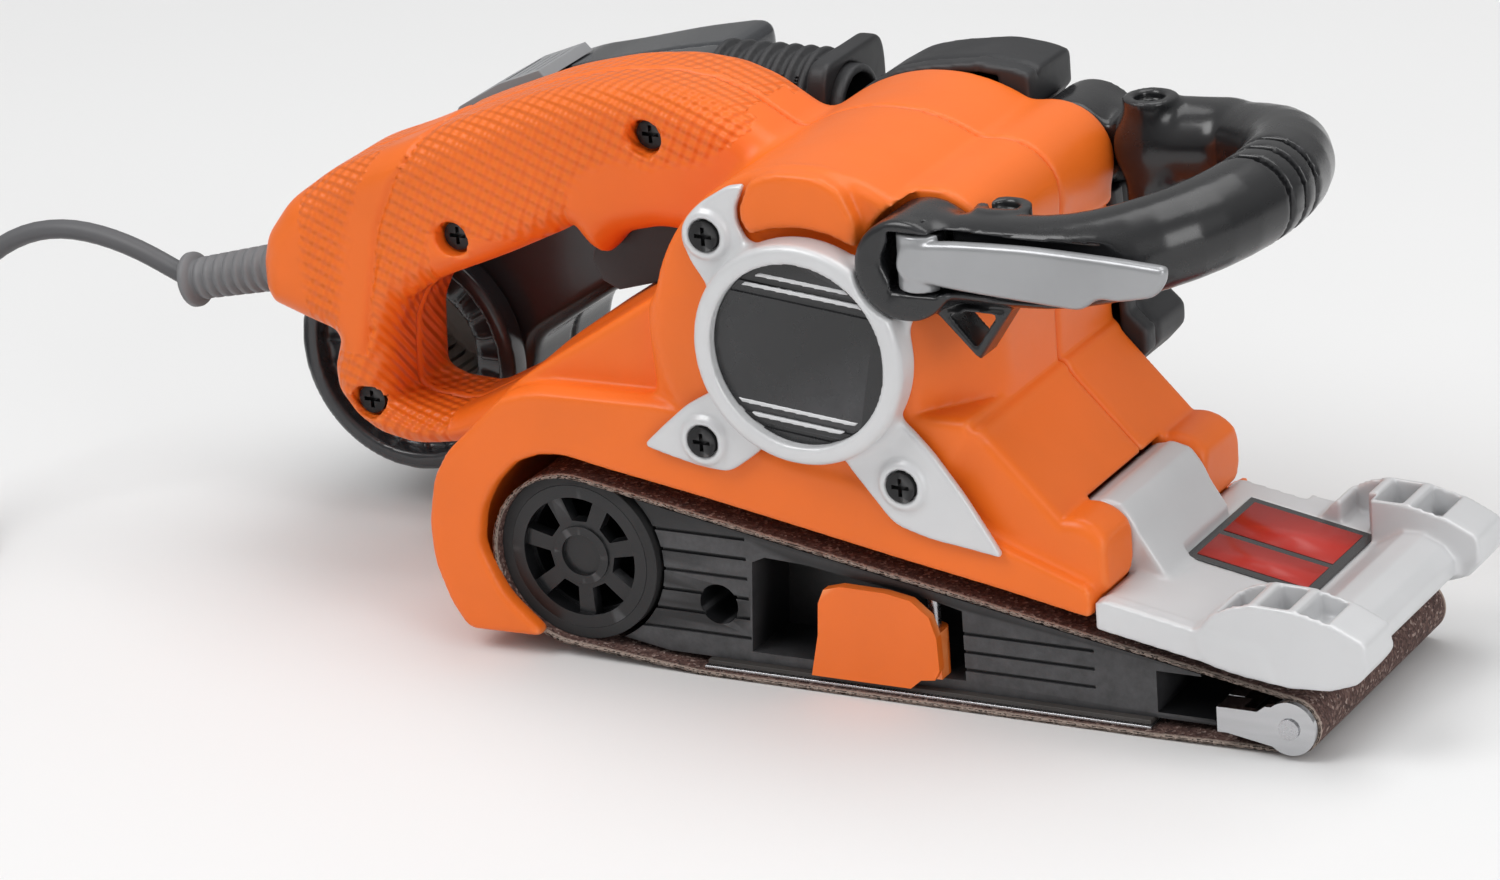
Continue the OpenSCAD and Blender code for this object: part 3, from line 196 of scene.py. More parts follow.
M["screw"] = varied("black_oxide", (0.02, 0.02, 0.021), 0.38, 0.3, metal=0.6, fine=1500, fine_amt=0.15, edge_highlight=(0.2, 0.2, 0.2))[0]
M["carbon"] = varied("carbon", (0.02, 0.02, 0.021), 0.6, 0.3, fine=2000, fine_amt=0.4)[0]
M["alu"] = varied("cast_aluminium", (0.5, 0.505, 0.51), 0.42, 0.1, metal=0.9, fine=900, fine_amt=0.35)[0]
M["brass"] = varied("brass", (0.62, 0.42, 0.15), 0.3, 0.1, metal=1, fine=1500, fine_amt=0.1)[0]
M["copper"] = varied("copper", (0.62, 0.24, 0.1), 0.35, 0.2, metal=1, fine=900, fine_amt=0.5, fine_d=0.0002)[0]
M["panel_red"] = varied("panel_red", (0.5, 0.03, 0.02), 0.35, 0.1, fine=4000, fine_amt=0.05)[0]
M["film"] = varied("label_film", (0.02, 0.02, 0.021), 0.25, 0.1, fine=4000, fine_amt=0.05, coat=0.4)[0]

def brushed(name, rgb, rough, stretch):
    m, t, b = mat(name, rgb, rough, 1.0)
    tc = t.nodes.new("ShaderNodeTexCoord"); mp = t.nodes.new("ShaderNodeMapping")
    mp.inputs["Scale"].default_value = stretch
    n = t.nodes.new("ShaderNodeTexNoise"); n.inputs["Scale"].default_value = 60; n.inputs["Detail"].default_value = 4
    t.links.new(tc.outputs["Object"], mp.inputs["Vector"]); t.links.new(mp.outputs["Vector"], n.inputs["Vector"])
    rr = ramp(t, n.outputs["Fac"], [(0.3, (rough * 0.7,) * 3), (0.7, (rough * 1.4,) * 3)])
    t.links.new(rr.outputs["Color"], b.inputs["Roughness"])
    cc = ramp(t, n.outputs["Fac"], [(0.2, tuple(c * 0.85 for c in rgb)), (0.8, rgb)])
    t.links.new(cc.outputs["Color"], b.inputs["Base Color"])
    bump(t, b, n.outputs["Fac"], 0.12, 0.00005)
    return m
M["steel"] = brushed("steel", (0.56, 0.56, 0.58), 0.26, (30, 1, 30))
M["lamination"] = brushed("lamination", (0.3, 0.3, 0.32), 0.4, (1, 40, 1))
M["chrome"] = brushed("bright_plate", (0.58, 0.585, 0.6), 0.14, (1, 6, 12))

# smoked canister plastic
m, t, b, first = varied("smoked_plastic", (0.035, 0.038, 0.043), 0.24, 0.15, fine=1800, fine_amt=0.06, edge_highlight=(0.14, 0.145, 0.15), coat=0.3)
b.inputs["Transmission Weight"].default_value = 0.12
M["smoked"] = m

# aluminium oxide grit on brown cloth, pale at the frayed edges
m, t, b = mat("abrasive", (0.1, 0.06, 0.05), 0.8)
tc = t.nodes.new("ShaderNodeTexCoord")
v = t.nodes.new("ShaderNodeTexVoronoi"); v.inputs["Scale"].default_value = 1500
t.links.new(tc.outputs["Object"], v.inputs["Vector"])
n = noise(t, 900, 4, 0.7)
c1 = ramp(t, v.outputs["Color"], [(0.0, (0.035, 0.017, 0.015)), (0.42, (0.085, 0.042, 0.035)), (0.74, (0.15, 0.085, 0.07)), (0.95, (0.42, 0.32, 0.28))])
sx = t.nodes.new("ShaderNodeSeparateXYZ"); t.links.new(tc.outputs["Object"], sx.inputs[0])
ab = t.nodes.new("ShaderNodeMath"); ab.operation = "ABSOLUTE"; t.links.new(sx.outputs["Y"], ab.inputs[0])
nn = noise(t, 420, 5, 0.8)
ad = t.nodes.new("ShaderNodeMath"); ad.operation = "MULTIPLY_ADD"; ad.inputs[1].default_value = 0.0014
t.links.new(nn.outputs["Fac"], ad.inputs[0]); t.links.new(ab.outputs[0], ad.inputs[2])
mr = t.nodes.new("ShaderNodeMapRange"); mr.inputs["From Min"].default_value = 0.0372; mr.inputs["From Max"].default_value = 0.0378
t.links.new(ad.outputs[0], mr.inputs["Value"])
mx_ = t.nodes.new("ShaderNodeMix"); mx_.data_type = "RGBA"; mx_.inputs[7].default_value = (0.42, 0.33, 0.28, 1)
t.links.new(mr.outputs["Result"], mx_.inputs["Factor"]); t.links.new(c1.outputs["Color"], mx_.inputs[6])
t.links.new(mx_.outputs[2], b.inputs["Base Color"])
f1 = bump(t, b, v.outputs["Distance"], 0.6, 0.0004)
bump(t, b, n.outputs["Fac"], 0.4, 0.0003, f1)
M["abrasive"] = m

m, t, b, first = varied("pleated_paper", (0.42, 0.42, 0.4), 0.85, 0.12, fine=1200, fine_amt=0.4)
M["filter"] = m
M["pad"] = varied("graphite_cloth", (0.05, 0.045, 0.042), 0.6, 0.3, fine=1400, fine_amt=0.5, fine_d=0.0002)[0]

# ---------------------------------------------------------------- distance-field shapes, in millimetres
def sm(P, rad=6.0, k=0.3, n=4):
    """Outline with its corners rounded."""
    P = np.asarray(P, float)
    out = []
    L = len(P)
    for i in range(L):
        p, q, s = P[i - 1], P[i], P[(i + 1) % L]
        d1, d2 = np.linalg.norm(p - q), np.linalg.norm(s - q)
        c = min(k * d1, k * d2, rad)
        A, B = q + (p - q) / d1 * c, q + (s - q) / d2 * c
        for j in range(n + 1):
            u = j / n
            out.append((1 - u) ** 2 * A + 2 * u * (1 - u) * q + u * u * B)
    return np.array(out)

class G:
    def __init__(s, lo, hi, h):
        s.h, s.lo = h, np.array(lo, float)
        n = [int(math.ceil((b - a) / h)) + 1 for a, b in zip(lo, hi)]
        ax = [np.float32(lo[i] + h * np.arange(n[i])) for i in range(3)]
        s.X, s.Y, s.Z = ax[0][:, None, None], ax[1][None, :, None], ax[2][None, None, :]
    def poly(s, P):
        P = np.asarray(P, np.float32)
        X, Z = s.X[:, 0, :], s.Z[0, :, :].T.reshape(1, -1)
        X = np.broadcast_to(X, (X.shape[0], Z.shape[1])); Z = np.broadcast_to(Z, X.shape)
        d = np.full(X.shape, 1e9, np.float32); ins = np.zeros(X.shape, bool)
        for i in range(len(P)):
            (x0, z0), (x1, z1) = P[i - 1], P[i]
            ex, ez = x1 - x0, z1 - z0
            q = ex * ex + ez * ez
            if q < 1e-9:
                continue
            u = np.clip(((X - x0) * ex + (Z - z0) * ez) / q, 0, 1)
            d = np.minimum(d, (X - x0 - u * ex) ** 2 + (Z - z0 - u * ez) ** 2)
            if z0 != z1:
                ins ^= ((z0 > Z) != (z1 > Z)) & (X < ex * (Z - z0) / ez + x0)
        d = np.sqrt(d)
        return np.where(ins, -d, d)[:, None, :]
    def circ(s, x, z, r):
        return np.hypot(s.X - x, s.Z - z) - np.float32(r)
    def ext(s, d2, y0, y1, r=0.0):
        p, q = d2 + r, np.abs(s.Y - (y0 + y1) / 2) - (y1 - y0) / 2 + r
        return np.minimum(np.maximum(p, q), 0) + np.hypot(np.maximum(p, 0), np.maximum(q, 0)) - r
    def slab(s, P, y0, y1, r=0.0):
        return s.ext(s.poly(P), y0, y1, r)
    def rod(s, x, z, rad, y0, y1, r=0.0):
        return s.ext(s.circ(x, z, rad), y0, y1, r)
    def box(s, x0, x1, y0, y1, z0, z1):
        return np.maximum(np.maximum(np.maximum(x0 - s.X, s.X - x1), np.maximum(y0 - s.Y, s.Y - y1)), np.maximum(z0 - s.Z, s.Z - z1))
    def capsule(s, p, q, r0, r1):
        p, q = np.float32(p), np.float32(q)
        v = q - p; L = float(v @ v)
        u = np.clip(((s.X - p[0]) * v[0] + (s.Y - p[1]) * v[1] + (s.Z - p[2]) * v[2]) / L, 0, 1)
        return np.sqrt((s.X - p[0] - u * v[0]) ** 2 + (s.Y - p[1] - u * v[1]) ** 2 + (s.Z - p[2] - u * v[2]) ** 2) - (r0 + (r1 - r0) * u)
    def line(s, p, d, rad, a0, a1):
        """Cylinder of radius rad about the line through p along unit d, from a0 to a1."""
        x, y, z = s.X - p[0], s.Y - p[1], s.Z - p[2]
        t_ = x * d[0] + y * d[1] + z * d[2]
        return np.maximum(np.sqrt(np.maximum(x * x + y * y + z * z - t_ * t_, 0)) - rad, np.abs(t_ - (a0 + a1) / 2) - (a1 - a0) / 2)

def smin(p, q, k):
    h = np.maximum(k - np.abs(p - q), 0) / k
    return np.minimum(p, q) - h * h * k * 0.25
def smax(p, q, k):
    return -smin(-p, -q, k)
def cut(d, *qs, k=0.0):
    for q in qs:
        d = smax(d, -q, k) if k else np.maximum(d, -q)
    return d

def surface(g, D):
    D = np.ascontiguousarray(np.broadcast_to(D, (g.X.shape[0], g.Y.shape[1], g.Z.shape[2]))).astype(np.float32)
    for ax in range(3):
        sl = [slice(None)] * 3
        for end in (0, -1):
            sl[ax] = end
            D[tuple(sl)] = np.maximum(D[tuple(sl)], 0.01)
            sl[ax] = slice(None)
    ins = D < 0
    c = np.zeros(tuple(x - 1 for x in D.shape), np.int8)
    for i in (0, 1):
        for j in (0, 1):
            for k in (0, 1):
                c += ins[i:i + c.shape[0], j:j + c.shape[1], k:k + c.shape[2]]
    act = np.argwhere((c > 0) & (c < 8))
    ids = np.full(c.shape, -1, np.int32)
    ids[tuple(act.T)] = np.arange(len(act))
    offs = np.array([(i, j, k) for i in (0, 1) for j in (0, 1) for k in (0, 1)])
    val = np.stack([D[tuple((act + o).T)] for o in offs], 1)
    P, cnt = np.zeros((len(act), 3), np.float32), np.zeros(len(act), np.float32)
    for m1 in range(8):
        for m2 in range(m1 + 1, 8):
            if np.abs(offs[m1] - offs[m2]).sum() != 1:
                continue
            d1, d2 = val[:, m1], val[:, m2]
            x = (d1 < 0) != (d2 < 0)
            u = np.where(x, d1 / np.where(x, d1 - d2, 1), 0)
            P += np.where(x[:, None], offs[m1] + u[:, None] * (offs[m2] - offs[m1]), 0)
            cnt += x
    V = (act + P / cnt[:, None]) * g.h + g.lo
    quads = []
    for ax in range(3):
        o1, o2 = [(1, 2), (2, 0), (0, 1)][ax]
        sh = np.array(D.shape)
        base = np.moveaxis(ins, ax, 0)
        diff = np.moveaxis(base[:-1] != base[1:], 0, ax)
        at_ = np.argwhere(diff)
        ok = (at_[:, o1] > 0) & (at_[:, o2] > 0) & (at_[:, o1] < sh[o1] - 1) & (at_[:, o2] < sh[o2] - 1)
        at_ = at_[ok]
        e1, e2 = np.eye(3, dtype=int)[o1], np.eye(3, dtype=int)[o2]
        q = np.stack([ids[tuple((at_ - x).T)] for x in (e1 + e2, e2, 0 * e1, e1)], 1)
        flip = ~ins[tuple(at_.T)]
        q[flip] = q[flip][:, ::-1]
        quads.append(q)
    return V, np.concatenate(quads)

def make(name, V, Q, material, body, nodes=(), keep=None, attr=None):
    me = bpy.data.meshes.new(name)
    me.from_pydata([], [], [])
    me.vertices.add(len(V)); me.vertices.foreach_set("co", (V * MM).astype(np.float32).ravel())
    me.loops.add(Q.size); me.loops.foreach_set("vertex_index", Q.astype(np.int32).ravel())
    me.polygons.add(len(Q))
    me.polygons.foreach_set("loop_start", np.arange(0, Q.size, Q.shape[1], dtype=np.int32))
    me.update(calc_edges=True); me.validate()
    if attr is not None:
        A = me.attributes.new("grip", "FLOAT", "POINT"); A.data.foreach_set("value", attr.astype(np.float32))
    o = bpy.data.objects.new(name, me)
    scene.collection.objects.link(o)
    if keep and keep < 1:
        md = o.modifiers.new("d", "DECIMATE"); md.ratio = keep
        bpy.context.view_layer.update()
        new = bpy.data.meshes.new_from_object(o.evaluated_get(bpy.context.evaluated_depsgraph_get()))
        o.modifiers.clear(); o.data = new; new.name = name
        me = new
    me.polygons.foreach_set("use_smooth", np.ones(len(me.polygons), bool))
    me.materials.clear(); me.materials.append(M[material])
    if nodes:
        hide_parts(*nodes)
    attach(o, body)
    print(name, len(me.polygons), "faces")
    return o

def sdf(name, g, D, material, body, nodes=(), keep=0.5, attr=None):
    V, Q = surface(g, D)
    return make(name, V, Q, material, body, nodes, keep, None if attr is None else attr(V))

def inside(P, x, z):
    P = np.asarray(P); ins = np.zeros(len(x), bool)
    for i in range(len(P)):
        (x0, z0), (x1, z1) = P[i - 1], P[i]
        if z0 != z1:
            ins ^= ((z0 > z) != (z1 > z)) & (x < (x1 - x0) * (z - z0) / (z1 - z0) + x0)
    return ins

FINE = 1.0
mx, mz, rx, rz, px, pz, hx, hz = -20, 87, -90, 24.75, 8, 111, 41, 41
g = G((-194, -47, 2), (49, 46, 137), 0.9 * FINE)
X, Y, Z = g.X, g.Y, g.Z

# ---------------------------------------------------------------- orange housing, both halves
base = g.slab(sm(BASE_OUT, 5), -38, 38, 2.6)
base = cut(base, g.slab(sm(ABOVE_SHOULDER, 3), -60, -33, 1.0), k=2.5)
pod = g.rod(mx, mz, 42.5, -40, 38, 3.2)
body = smin(base, pod, 4)
body = smin(body, g.slab(sm(GUARD_PLATE, 4), -41, -36, 1.4), 2)
body = smin(body, g.slab(sm(HOOD_LIP, 2), -44, -37, 1.2), 2)
slope = (X - 4.5) * 0.805 - (Y + 38.6) * 0.593
body = smax(body, -np.maximum(np.maximum(-slope, 73 - Z), Z - 112), 3)
body = smax(body, -np.maximum(np.maximum(18.2 - X, 71 - Z), Z - 100), 2)
body = smin(body, g.rod(px, pz, 13, -30, 38, 1.5), 3)
body = np.minimum(body, g.rod(hx, hz, 10, -38, -22.2, 3.0))
body = np.minimum(body, g.rod(hx, hz, 10, 18.2, 38, 3.0))
wall = g.slab(sm(FAR_WALL_PTS, 3), 38 - 1, 43, 1.0)
wall = cut(wall, g.rod(mx, mz, 44, 37, 44), g.rod(hx, hz, 11, 37, 44), g.slab([[40, 60], [44, 30], [80, 60]], 36, 44))
body = np.minimum(body, wall)
g2 = np.maximum(g.poly(sm(GRIP_OUT, 9)), -g.poly(sm(GRIP_HOLE, 9)))
grip = g.ext(g2, -9, 27, 7.5)
body = smin(body, grip, 5)
# parting line and panel groove
body = np.maximum(body, -np.maximum(np.abs(Y - 8) - 0.45, -(body + 0.9)))
groove = np.full(X.shape, 1e3, np.float32) * np.ones(Z.shape, np.float32)
PG = [[-139.7, 117], [-148.1, 104.4], [-153.8, 91.9], [-160.6, 58.7]]
for (x0, z0), (x1, z1) in zip(PG[:-1], PG[1:]):
    u = np.clip(((X - x0) * (x1 - x0) + (Z - z0) * (z1 - z0)) / ((x1 - x0) ** 2 + (z1 - z0) ** 2), 0, 1)
    groove = np.minimum(groove, np.hypot(X - x0 - u * (x1 - x0), Z - z0 - u * (z1 - z0)))
body = np.maximum(body, -np.maximum(groove - 0.6, -(body + 0.9)))
# hollows
outer = body
skin = outer + 2.2
body = cut(body, np.maximum(g.slab(BASE_IN, -30, 35.5), skin), np.maximum(g.slab(BASE_LOW, -35, 9), skin), np.maximum(g.slab(GRIP_IN, -6, 24), skin),
           g.slab(TRIGGER_SLOT, 1.5, 16.5, 0.6), g.rod(mx, mz, 33.15, -19.6, 39), g.rod(mx, mz, 26, -30, -19), g.rod(mx, mz, 23, -46, -29), g.rod(px, pz, 13.3, -46, -30),
           g.rod(px, pz, 3.2, -32, 39), g.rod(hx, hz, 2.1, -36, 36), g.rod(hx, hz, 10.1, -22.2, 18.2), g.rod(rx, rz, 13.1, 36, 44),
           g.rod(62, 16, 2.7, 36, 44), g.rod(-88, 112, 5.15, 20, 30),
           g.line((-184, 9, 74.6), (-0.9736, 0, -0.2284), 5.85, -5, 8))
# material put back for the screw posts
for x, z in SCREW_XZ:
    post = g.rod(x, z, 4, -5, 26)
    post = np.minimum(post, g.rod(x, z, 5.8, -8, -1))
    body = np.minimum(body, np.maximum(post, outer + 0.4))
    body = cut(body, g.rod(x, z, 2.05, -10, 23), g.rod(x, z, 4.4, -12, -3, 0.3))
for x, z in SHIELD_XZ:
    body = cut(body, g.rod(x, z, 2.1, -42, -33))
for x, z in COVER_XZ:
    body = cut(body, g.rod(x, z, 2.1, 33, 44))
PATCH = [(-101.4, 98.3), (-100.1, 107.3), (-94.8, 112.7), (-86, 115.5), (-69.2, 115.3), (-59.5, 118.9), (-48.5, 127.6), (-40, 60), (-101, 60)]
BAND = [(-139.7, 117), (-148.1, 104.4), (-153.8, 91.9), (-160.6, 58.7), (-169, 58.7), (-162.4, 93), (-156, 107), (-148, 118)]
def grip_mask(V):
    x, y, z = V.T
    on = inside(GRIP_OUT, x, z) | ((x < -60) & (z > 80))
    on &= ~inside(PATCH, x, z) & ~inside(BAND, x, z) & (x > -176) & (x < -52) & (y > -9.5) & (y < 27.5) & (np.abs(y - 8) > 1.4)
    on &= (z > 92) | (x < -140)
    return on.astype(float)
sdf("housing_near_shell", g, np.maximum(body, Y - 8), "orange", "root", ["housing_near"], 0.5, grip_mask)
sdf("housing_far_shell", g, np.maximum(body, 8 - Y), "orange", "root", ["housing_far"], 0.5, grip_mask)
del base, pod, wall, grip, groove, outer, skin

# ---------------------------------------------------------------- front handle
g = G((-6, -51, 87), (89, 61, 134), 0.8 * FINE)
X, Y, Z = g.X, g.Y, g.Z
PATH = np.array([[8, -39.6, 111.6, 8.6], [20, -39.4, 112.2, 10.1], [46, -38.2, 113.8, 10.5], [66, -25, 117.6, 10.7], [75, 0, 120, 10.8], [68, 29, 118.4, 10.7], [46, 46, 114, 9.6], [20, 48.6, 111, 8.5], [8, 48.6, 110.8, 8.0]])
def catmull(P, m):
    out = []
    for i in range(len(P) - 1):
        A, B, C, D = P[max(i - 1, 0)], P[i], P[i + 1], P[min(i + 2, len(P) - 1)]
        for k in range(m):
            u = k / m
            out.append(0.5 * (2 * B + (C - A) * u + (2 * A - 5 * B + 4 * C - D) * u * u + (3 * B - A - 3 * C + D) * u ** 3))
    return np.array(out + [P[-1]])
CP = catmull(PATH, 4)
D = g.capsule(CP[1][:3], CP[2][:3], CP[1][3], CP[2][3])
for p, q in zip(CP[2:-2], CP[3:-1]):
    D = np.minimum(D, g.capsule(p[:3], q[:3], p[3], q[3]))
for yc in (-6.5, 0, 6.5):
    D = np.maximum(D, -np.maximum(np.maximum(np.abs(Y - yc) - 0.9, 55 - X), -(D + 2.0)))
D = smin(D, g.capsule((30, 42, 114.5), (46, 45, 114.6), 10.6, 10.2), 2)
D = smin(D, g.rod(px, pz, 12, -49.4, -30.4, 1.4), 3)
D = smin(D, g.rod(px, pz, 12, 38.6, 58, 1.6), 5)
for x, y, top in ((25.5, -31, 122.6), (30, 38.5, 126.6)):
    c = np.hypot(X - x, Y - y) - 6.3
    D = smin(D, np.maximum(c, np.maximum(101 - Z, Z - top)), 3)
D = smin(D, cut(g.slab([[12, 101], [32, 102.6], [23.4, 89.6]], -44, -34, 1.2), g.slab([[16, 100.4], [28.6, 101], [23, 92.6]], -50, -33)), 1)
D = smax(D, -g.slab(sm([[2.4, 113], [5, 118.6], [22, 120.3], [76, 120.6], [76, 108], [56, 104.6], [22, 106.6], [5, 107.6]], 4), -60, -43.2, 0.8), 0.8)
D = cut(D, np.maximum(np.hypot(X - 11, Y + 44.5) - 7.4, np.maximum(106 - Z, Z - 120)), np.maximum(np.hypot(X - 11, Y + 44.5) - 1.3, np.maximum(98.5 - Z, Z - 122)),
        g.rod(px, pz, 3.2, -48, 60), g.box(-10, 21.6, -30.4, 38.6, 85, 131))
for x, y, top in ((25.5, -31, 122.6), (30, 38.5, 126.6)):
    D = cut(D, np.maximum(np.hypot(X - x, Y - y) - 3.6, top - 2.2 - Z), np.maximum(np.hypot(X - x, Y - y) - 1.5, 100 - Z))
sdf("front_handle_grip", g, D, "gloss_black", "front_handle", ["front_handle"], 0.5)

# ---------------------------------------------------------------- silver end shield
g = G((-68, -52, 38), (29, -31, 130), 0.62 * FINE)
X, Y, Z = g.X, g.Y, g.Z
legs = np.minimum(np.minimum(g.slab(sm(LEG_UL, 3), -43.6, -41.1, 0.9), g.slab(sm(LEG_LL, 3), -43.6, -41.1, 0.9)), np.minimum(g.slab(sm(LEG_LR, 3), -43.6, -41.1, 0.9), g.slab(sm(LEG_UR, 3), -43.6, -41.1, 0.9)))
D = smin(legs, g.rod(mx, mz + 1, 26.5, -50, -41.1, 2.0), 3)
D = np.minimum(D, g.rod(mx, mz, 14, -42, -33))
for x, z in SHIELD_XZ:
    D = smin(D, g.rod(x, z, 5.6, -45, -41.1, 0.8), 2)
D = cut(D, g.rod(mx, mz + 1, 22, -51, -44.6, 0.4), g.rod(mx, mz, 11.1, -41.1, -32), g.rod(px, pz, 12.6, -53, -41))
for x, z in SHIELD_XZ:
    D = cut(D, g.rod(x, z, 2.1, -46, -40), g.rod(x, z, 3.9, -46, -43.05))
sdf("end_shield_cast", g, D, "silver", "root", ["end_shield"], 0.6)

# ---------------------------------------------------------------- plain stripes on the badge
g = G((-44, -48.2, 64), (4, -46.4, 112), 0.3 * FINE)
X, Y, Z = g.X, g.Y, g.Z
D = 1e3
tilt = (Z - mz - 1) + (X - mx) * 0.1
for zc in (-17.2, -14.4, 14.4, 17.2):
    D = np.minimum(D, np.abs(tilt - zc) - 0.5)
D = np.maximum(np.maximum(D, np.hypot(X - mx, Z - mz - 1) - 20.6), np.abs(Y + 47.2) - 0.42)
sdf("badge_stripes", g, D, "silver", "root", (), 0.6)

# ---------------------------------------------------------------- clamp lever with rounded edges
g = G((4, -51, 104.5), (76, -43, 121.5), 0.45 * FINE)
X, Y, Z = g.X, g.Y, g.Z
D = g.slab(sm(CLAMP_PTS, 5, 0.45), -50, -46.4, 1.5)
D = smin(D, np.maximum(np.hypot(X - 11, Y + 44.5) - 5.4, np.abs(Z - 113) - 6.6), 1.0)
D = smin(D, g.box(7.6, 14.4, -46.8, -44.4, 108, 118), 0.6)
D = cut(D, np.maximum(np.hypot(X - 11, Y + 44.5) - 1.35, np.abs(Z - 113) - 8))
sdf("clamp_lever_rounded", g, D, "lever_grey", "clamp_lever", ["clamp_lever"], 0.6)

# ---------------------------------------------------------------- silver nose cover
g = G((30, -43, 16), (116, 43, 52), 0.72 * FINE)
X, Y, Z = g.X, g.Y, g.Z
D = g.slab(COVER_TOP, -38, 38, 0.5)
D = smin(D, g.slab(COVER_SIDE, -41, -37, 0.8), 1.0)
D = smin(D, g.slab([[64, 28.4], [66, 30.6], [88, 26.4], [90, 20.6], [84, 20.6], [76, 23.6]], 38.2, 41.2, 0.6), 1.0)
for y0, y1 in ((-41, -26), (26, 41.2)):
    blk = g.slab(sm(BUMPER, 1.2), y0, y1, 0.8)
    for i in range(3):
        blk = cut(blk, g.box(77.5 + i * 9.6, 84.5 + i * 9.6, y0 + 1.2, y1 - 1.2, 25.8 - i, 60), k=0.5)
    D = smin(D, blk, 1.5)
D = smin(D, g.rod(hx, hz, 8.8, -21.6, 17.6, 1.0), 1.0)
D = smin(D, g.slab([[41, 32.4], [41, 49.8], [46, 49], [57, 32.4], [50, 31.9], [46.5, 32.8]], -21.6, 17.6, 0.8), 1.5)
top = (Z - (33.7 - (X - 49.5) * 0.1896)) * 0.9825
D = cut(D, g.rod(hx, hz, 2.1, -23, 19), np.maximum(np.maximum(-0.36 - top, np.maximum(54.8 - X, X - 86.7)), np.maximum(-8.2 - Y, Y - 30.2)))
sdf("nose_cover_shell", g, D, "silver", "nose_cover", ["nose_cover"], 0.5)

# ---------------------------------------------------------------- black drive cover on the far side
g = G((-122, 36.5, 2), (29, 64, 133), 0.8 * FINE)
X, Y, Z = g.X, g.Y, g.Z
out2 = np.minimum(g.poly(sm(COVER_OUT, 5)), g.circ(rx, rz, 21.5))
in2 = np.minimum(g.poly(COVER_IN), g.circ(rx, rz, 19.3))
D = cut(g.ext(out2, 43.2, 62, 3.0), g.ext(in2, 42, 59.4))
low = np.maximum(g.ext(g.poly(COVER_OUT), 38.2, 46), Y - 43.4)
low = cut(low, g.slab(COVER_IN, 36, 46), g.slab(FAR_WALL_PTS, 36, 43.2), g.box(-140, -61, 36, 43.2, 0, 96), g.box(-70, -6, 36, 43.2, 0, 44))
D = np.minimum(D, low)
D = np.minimum(D, g.slab([[-104.4, 40.7], [-119, 52], [-98, 72.5], [-86, 79], [-86, 92], [-62, 94], [-60, 90]], 43.2, 45.2))
tube = np.hypot(Y - 51, Z - 112.5)
D = smin(D, np.maximum(tube - 10.5, np.maximum(-76 - X, X + 52)), 1.5)
for i in range(7):
    x0 = -62 + i * 9
    D = smax(D, -np.maximum(np.abs(X - x0 + (Z - 60) * 0.35) - 1.0, np.maximum(61.2 - Y, np.maximum(58 - Z, Z - 92))), 0.6)
for x, z in COVER_XZ:
    D = np.minimum(D, g.rod(x, z, 3.7, 43.2, 61))
D = cut(D, np.maximum(tube - 8.4, np.maximum(-77 - X, X + 50)), g.rod(px, pz, 12.7, 36, 64), g.box(-0.8, 30, 37, 64, 102.2, 135))
for x, z in COVER_XZ:
    D = cut(D, g.rod(x, z, 2.1, 36, 64), g.rod(x, z, 3.05, 60, 64))
sdf("drive_cover_shell", g, D, "black", "root", ["drive_cover"], 0.5)

# ---------------------------------------------------------------- dust canister
def arc(cx, cz, rad, a0, a1, n):
    return [[cx + rad * math.cos(math.radians(a0 + (a1 - a0) * i / n)), cz + rad * math.sin(math.radians(a0 + (a1 - a0) * i / n))] for i in range(n + 1)]
CAN_OUT = arc(-174, 43, 30.6, 180, 290, 18) + [[-152, 22], [-145, 33], [-141.5, 47], [-124, 58.5], [-98, 76], [-90, 82], [-90, 123], [-108, 119.6], [-128, 114.6], [-138, 112.4], [-151, 107.6], [-166, 99.6], [-185, 88.6], [-197, 77], [-203, 62]]
CAN_IN = arc(-174, 43, 28.1, 180, 290, 18) + [[-154, 25], [-147.6, 34], [-144, 49], [-125.6, 60.8], [-99.4, 78.4], [-92.5, 83.4], [-92.5, 120.2], [-107.6, 117], [-127.4, 112], [-137.2, 109.8], [-150, 105.2], [-164.9, 97.2], [-183.6, 86.4], [-194.8, 75.4], [-200.6, 61.4]]
g = G((-207, 30, 10), (-87, 86, 126), 0.85 * FINE)
X, Y, Z = g.X, g.Y, g.Z
o2 = g.poly(sm(CAN_OUT, 6))
D = g.ext(o2, 39, 84, 4.5)
full = D
D = np.maximum(D, -np.maximum(np.abs(Y - 61) - 0.9, -(D + 0.9)))
D = cut(D, np.maximum(g.ext(g.poly(CAN_IN), 41.4, 81.6, 1), full + 2.0), g.rod(-174, 43, 21.2, 37, 42), np.maximum(np.hypot(Y - 52, Z - 112.5) - 8.6, np.maximum(-94 - X, X + 86)))
sdf("canister_shell", g, D, "smoked", "dust_canister", ["canister_body"], 0.45)
D = g.rod(-174, 43, 30.6, 31, 39, 1.4)
D = cut(D, g.rod(-174, 43, 26.2, 29, 36.6, 0.8), g.rod(-174, 43, 17, 35, 41))
for an in range(0, 360, 15):
    c_, s_ = math.cos(math.radians(an)), math.sin(math.radians(an))
    D = np.minimum(D, np.maximum(np.maximum(np.abs(-(X + 174) * s_ + (Z - 43) * c_) - 0.6, np.abs(((X + 174) * c_ + (Z - 43) * s_) - 22) - 3.4), np.maximum(35.4 - Y, Y - 37)))
sdf("canister_rim_ring", g, D, "smoked", "dust_canister", ["canister_rim"], 0.6)
